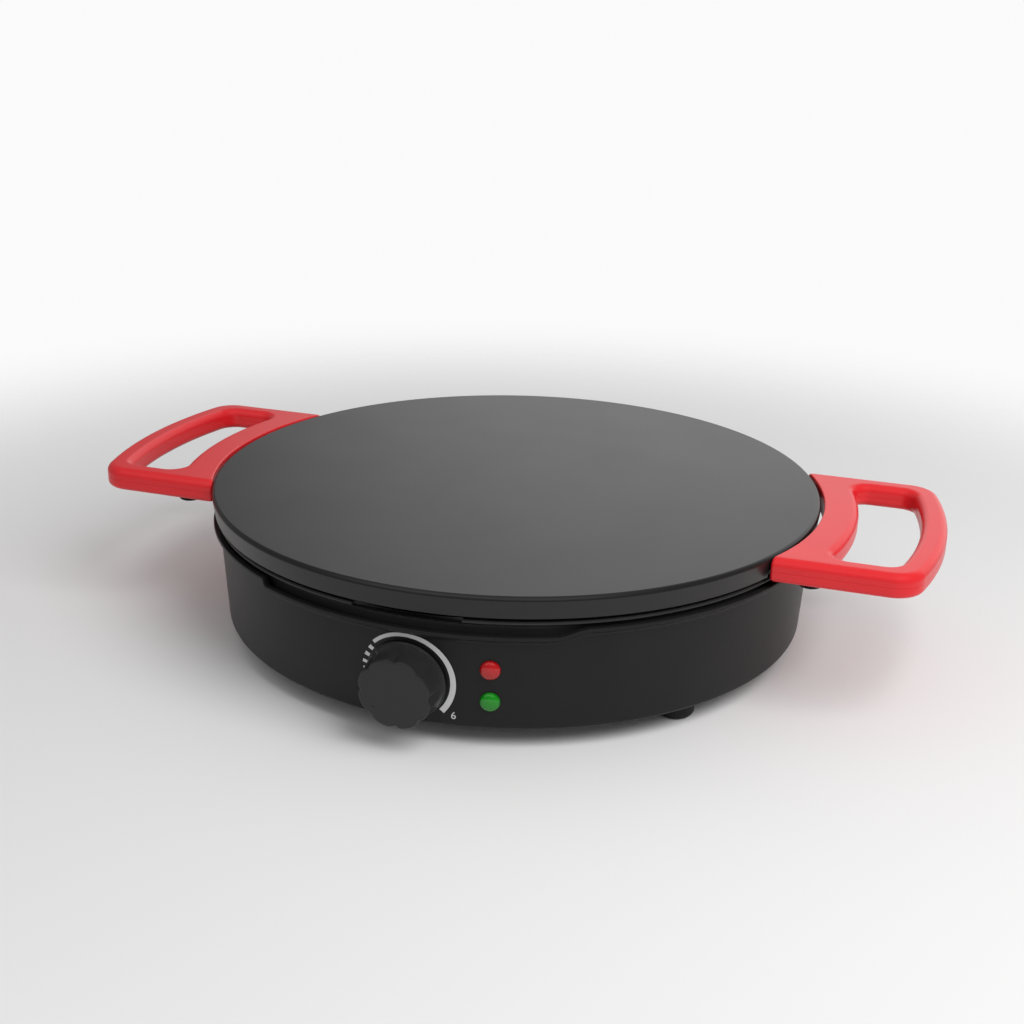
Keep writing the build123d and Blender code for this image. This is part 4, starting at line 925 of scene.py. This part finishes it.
def makeNumber(settings):
    curve = bpy.data.curves.new("dialNumber", "FONT")
    curve.body = settings["number"]
    curve.size = settings["numberSize"]
    curve.extrude = 1.0  # only to tell the front from the back, which are then laid on the wall
    curve.resolution_u = settings["numberCurve"]
    curve.align_x = "CENTER"
    curve.align_y = "CENTER"
    holder = bpy.data.objects.new("numberCurve", curve)
    bpy.context.scene.collection.objects.link(holder)
    bpy.context.view_layer.update()
    mesh = bpy.data.meshes.new_from_object(holder.evaluated_get(bpy.context.evaluated_depsgraph_get()))
    bpy.data.objects.remove(holder)
    across, up = settings["numberPlace"]
    film = settings["film"]

    def build(work):
        work.from_mesh(mesh)
        bmesh.ops.remove_doubles(work, verts=work.verts, dist=settings["numberWeld"])
        for vert in work.verts:
            vert.co = onWall(across + vert.co.x, up + vert.co.y, film if vert.co.z > 0 else -film)

    piece = meshObject("dialNumber", build)
    dress(piece, "padPrintInk", "base")


makeScale(dial)
makeNumber(dial)
print("dial printed")


# Pilot lenses: domed caps with a narrow rim, one over the other

lensCap = {
    "radius": 4.72,
    "rise": 2.6,
    "rim": 0.7,
    "rimRound": (0.12, 0.15),  # in and down
    "seat": 0.3,  # how deep the cap sits in the wall
    "neck": (4.1, 5.0),
    "bearing": 14.2,
    "lift": 0.06,  # over the middle of the CAD lens
    "domeEnd": 88,  # where the dome's curve ends in a flat tip
    "domeSteps": 14,
    "segments": 96,
}


def makeLensCap(colour, settings):
    low, high = nodeBox(f"pilot_lens_{colour}")
    height = (low.z + high.z) / 2 + settings["lift"]
    bearing = settings["bearing"]
    outward = Vector(onCircle(bearing - 90, math.cos(tilt), -math.sin(tilt)))
    across = Vector(onCircle(bearing, 1))
    up = outward.cross(across)
    origin = Vector(onCircle(bearing - 90, wallRadius(height), height))
    radius, rim, seat = settings["radius"], settings["rim"], settings["seat"]
    neckRadius, neckLength = settings["neck"]
    inset, drop = settings["rimRound"]
    rows = [(neckRadius, -neckLength), (neckRadius, -seat), (radius, -seat), (radius, rim - drop),
            (radius - inset, rim)]
    for a in even(0, settings["domeEnd"], settings["domeSteps"])[1:]:
        x, y = onCircle(a, 1)[:2]
        rows.append(((radius - inset) * x, rim + (settings["rise"] - rim) * y))

    def build(work):
        sections = []
        for angle in spread(settings["segments"]):
            x, y = onCircle(angle, 1)[:2]
            sections.append([origin + across * x * r + up * y * r + outward * h for r, h in rows])
        skin(work, sections)

    piece = meshObject(f"{colour}Lens", build)
    dress(piece, f"{colour}Polycarbonate", "base", [f"pilot_lens_{colour}"])


for colour in ("red", "green"):
    makeLensCap(colour, lensCap)
print("lenses built")
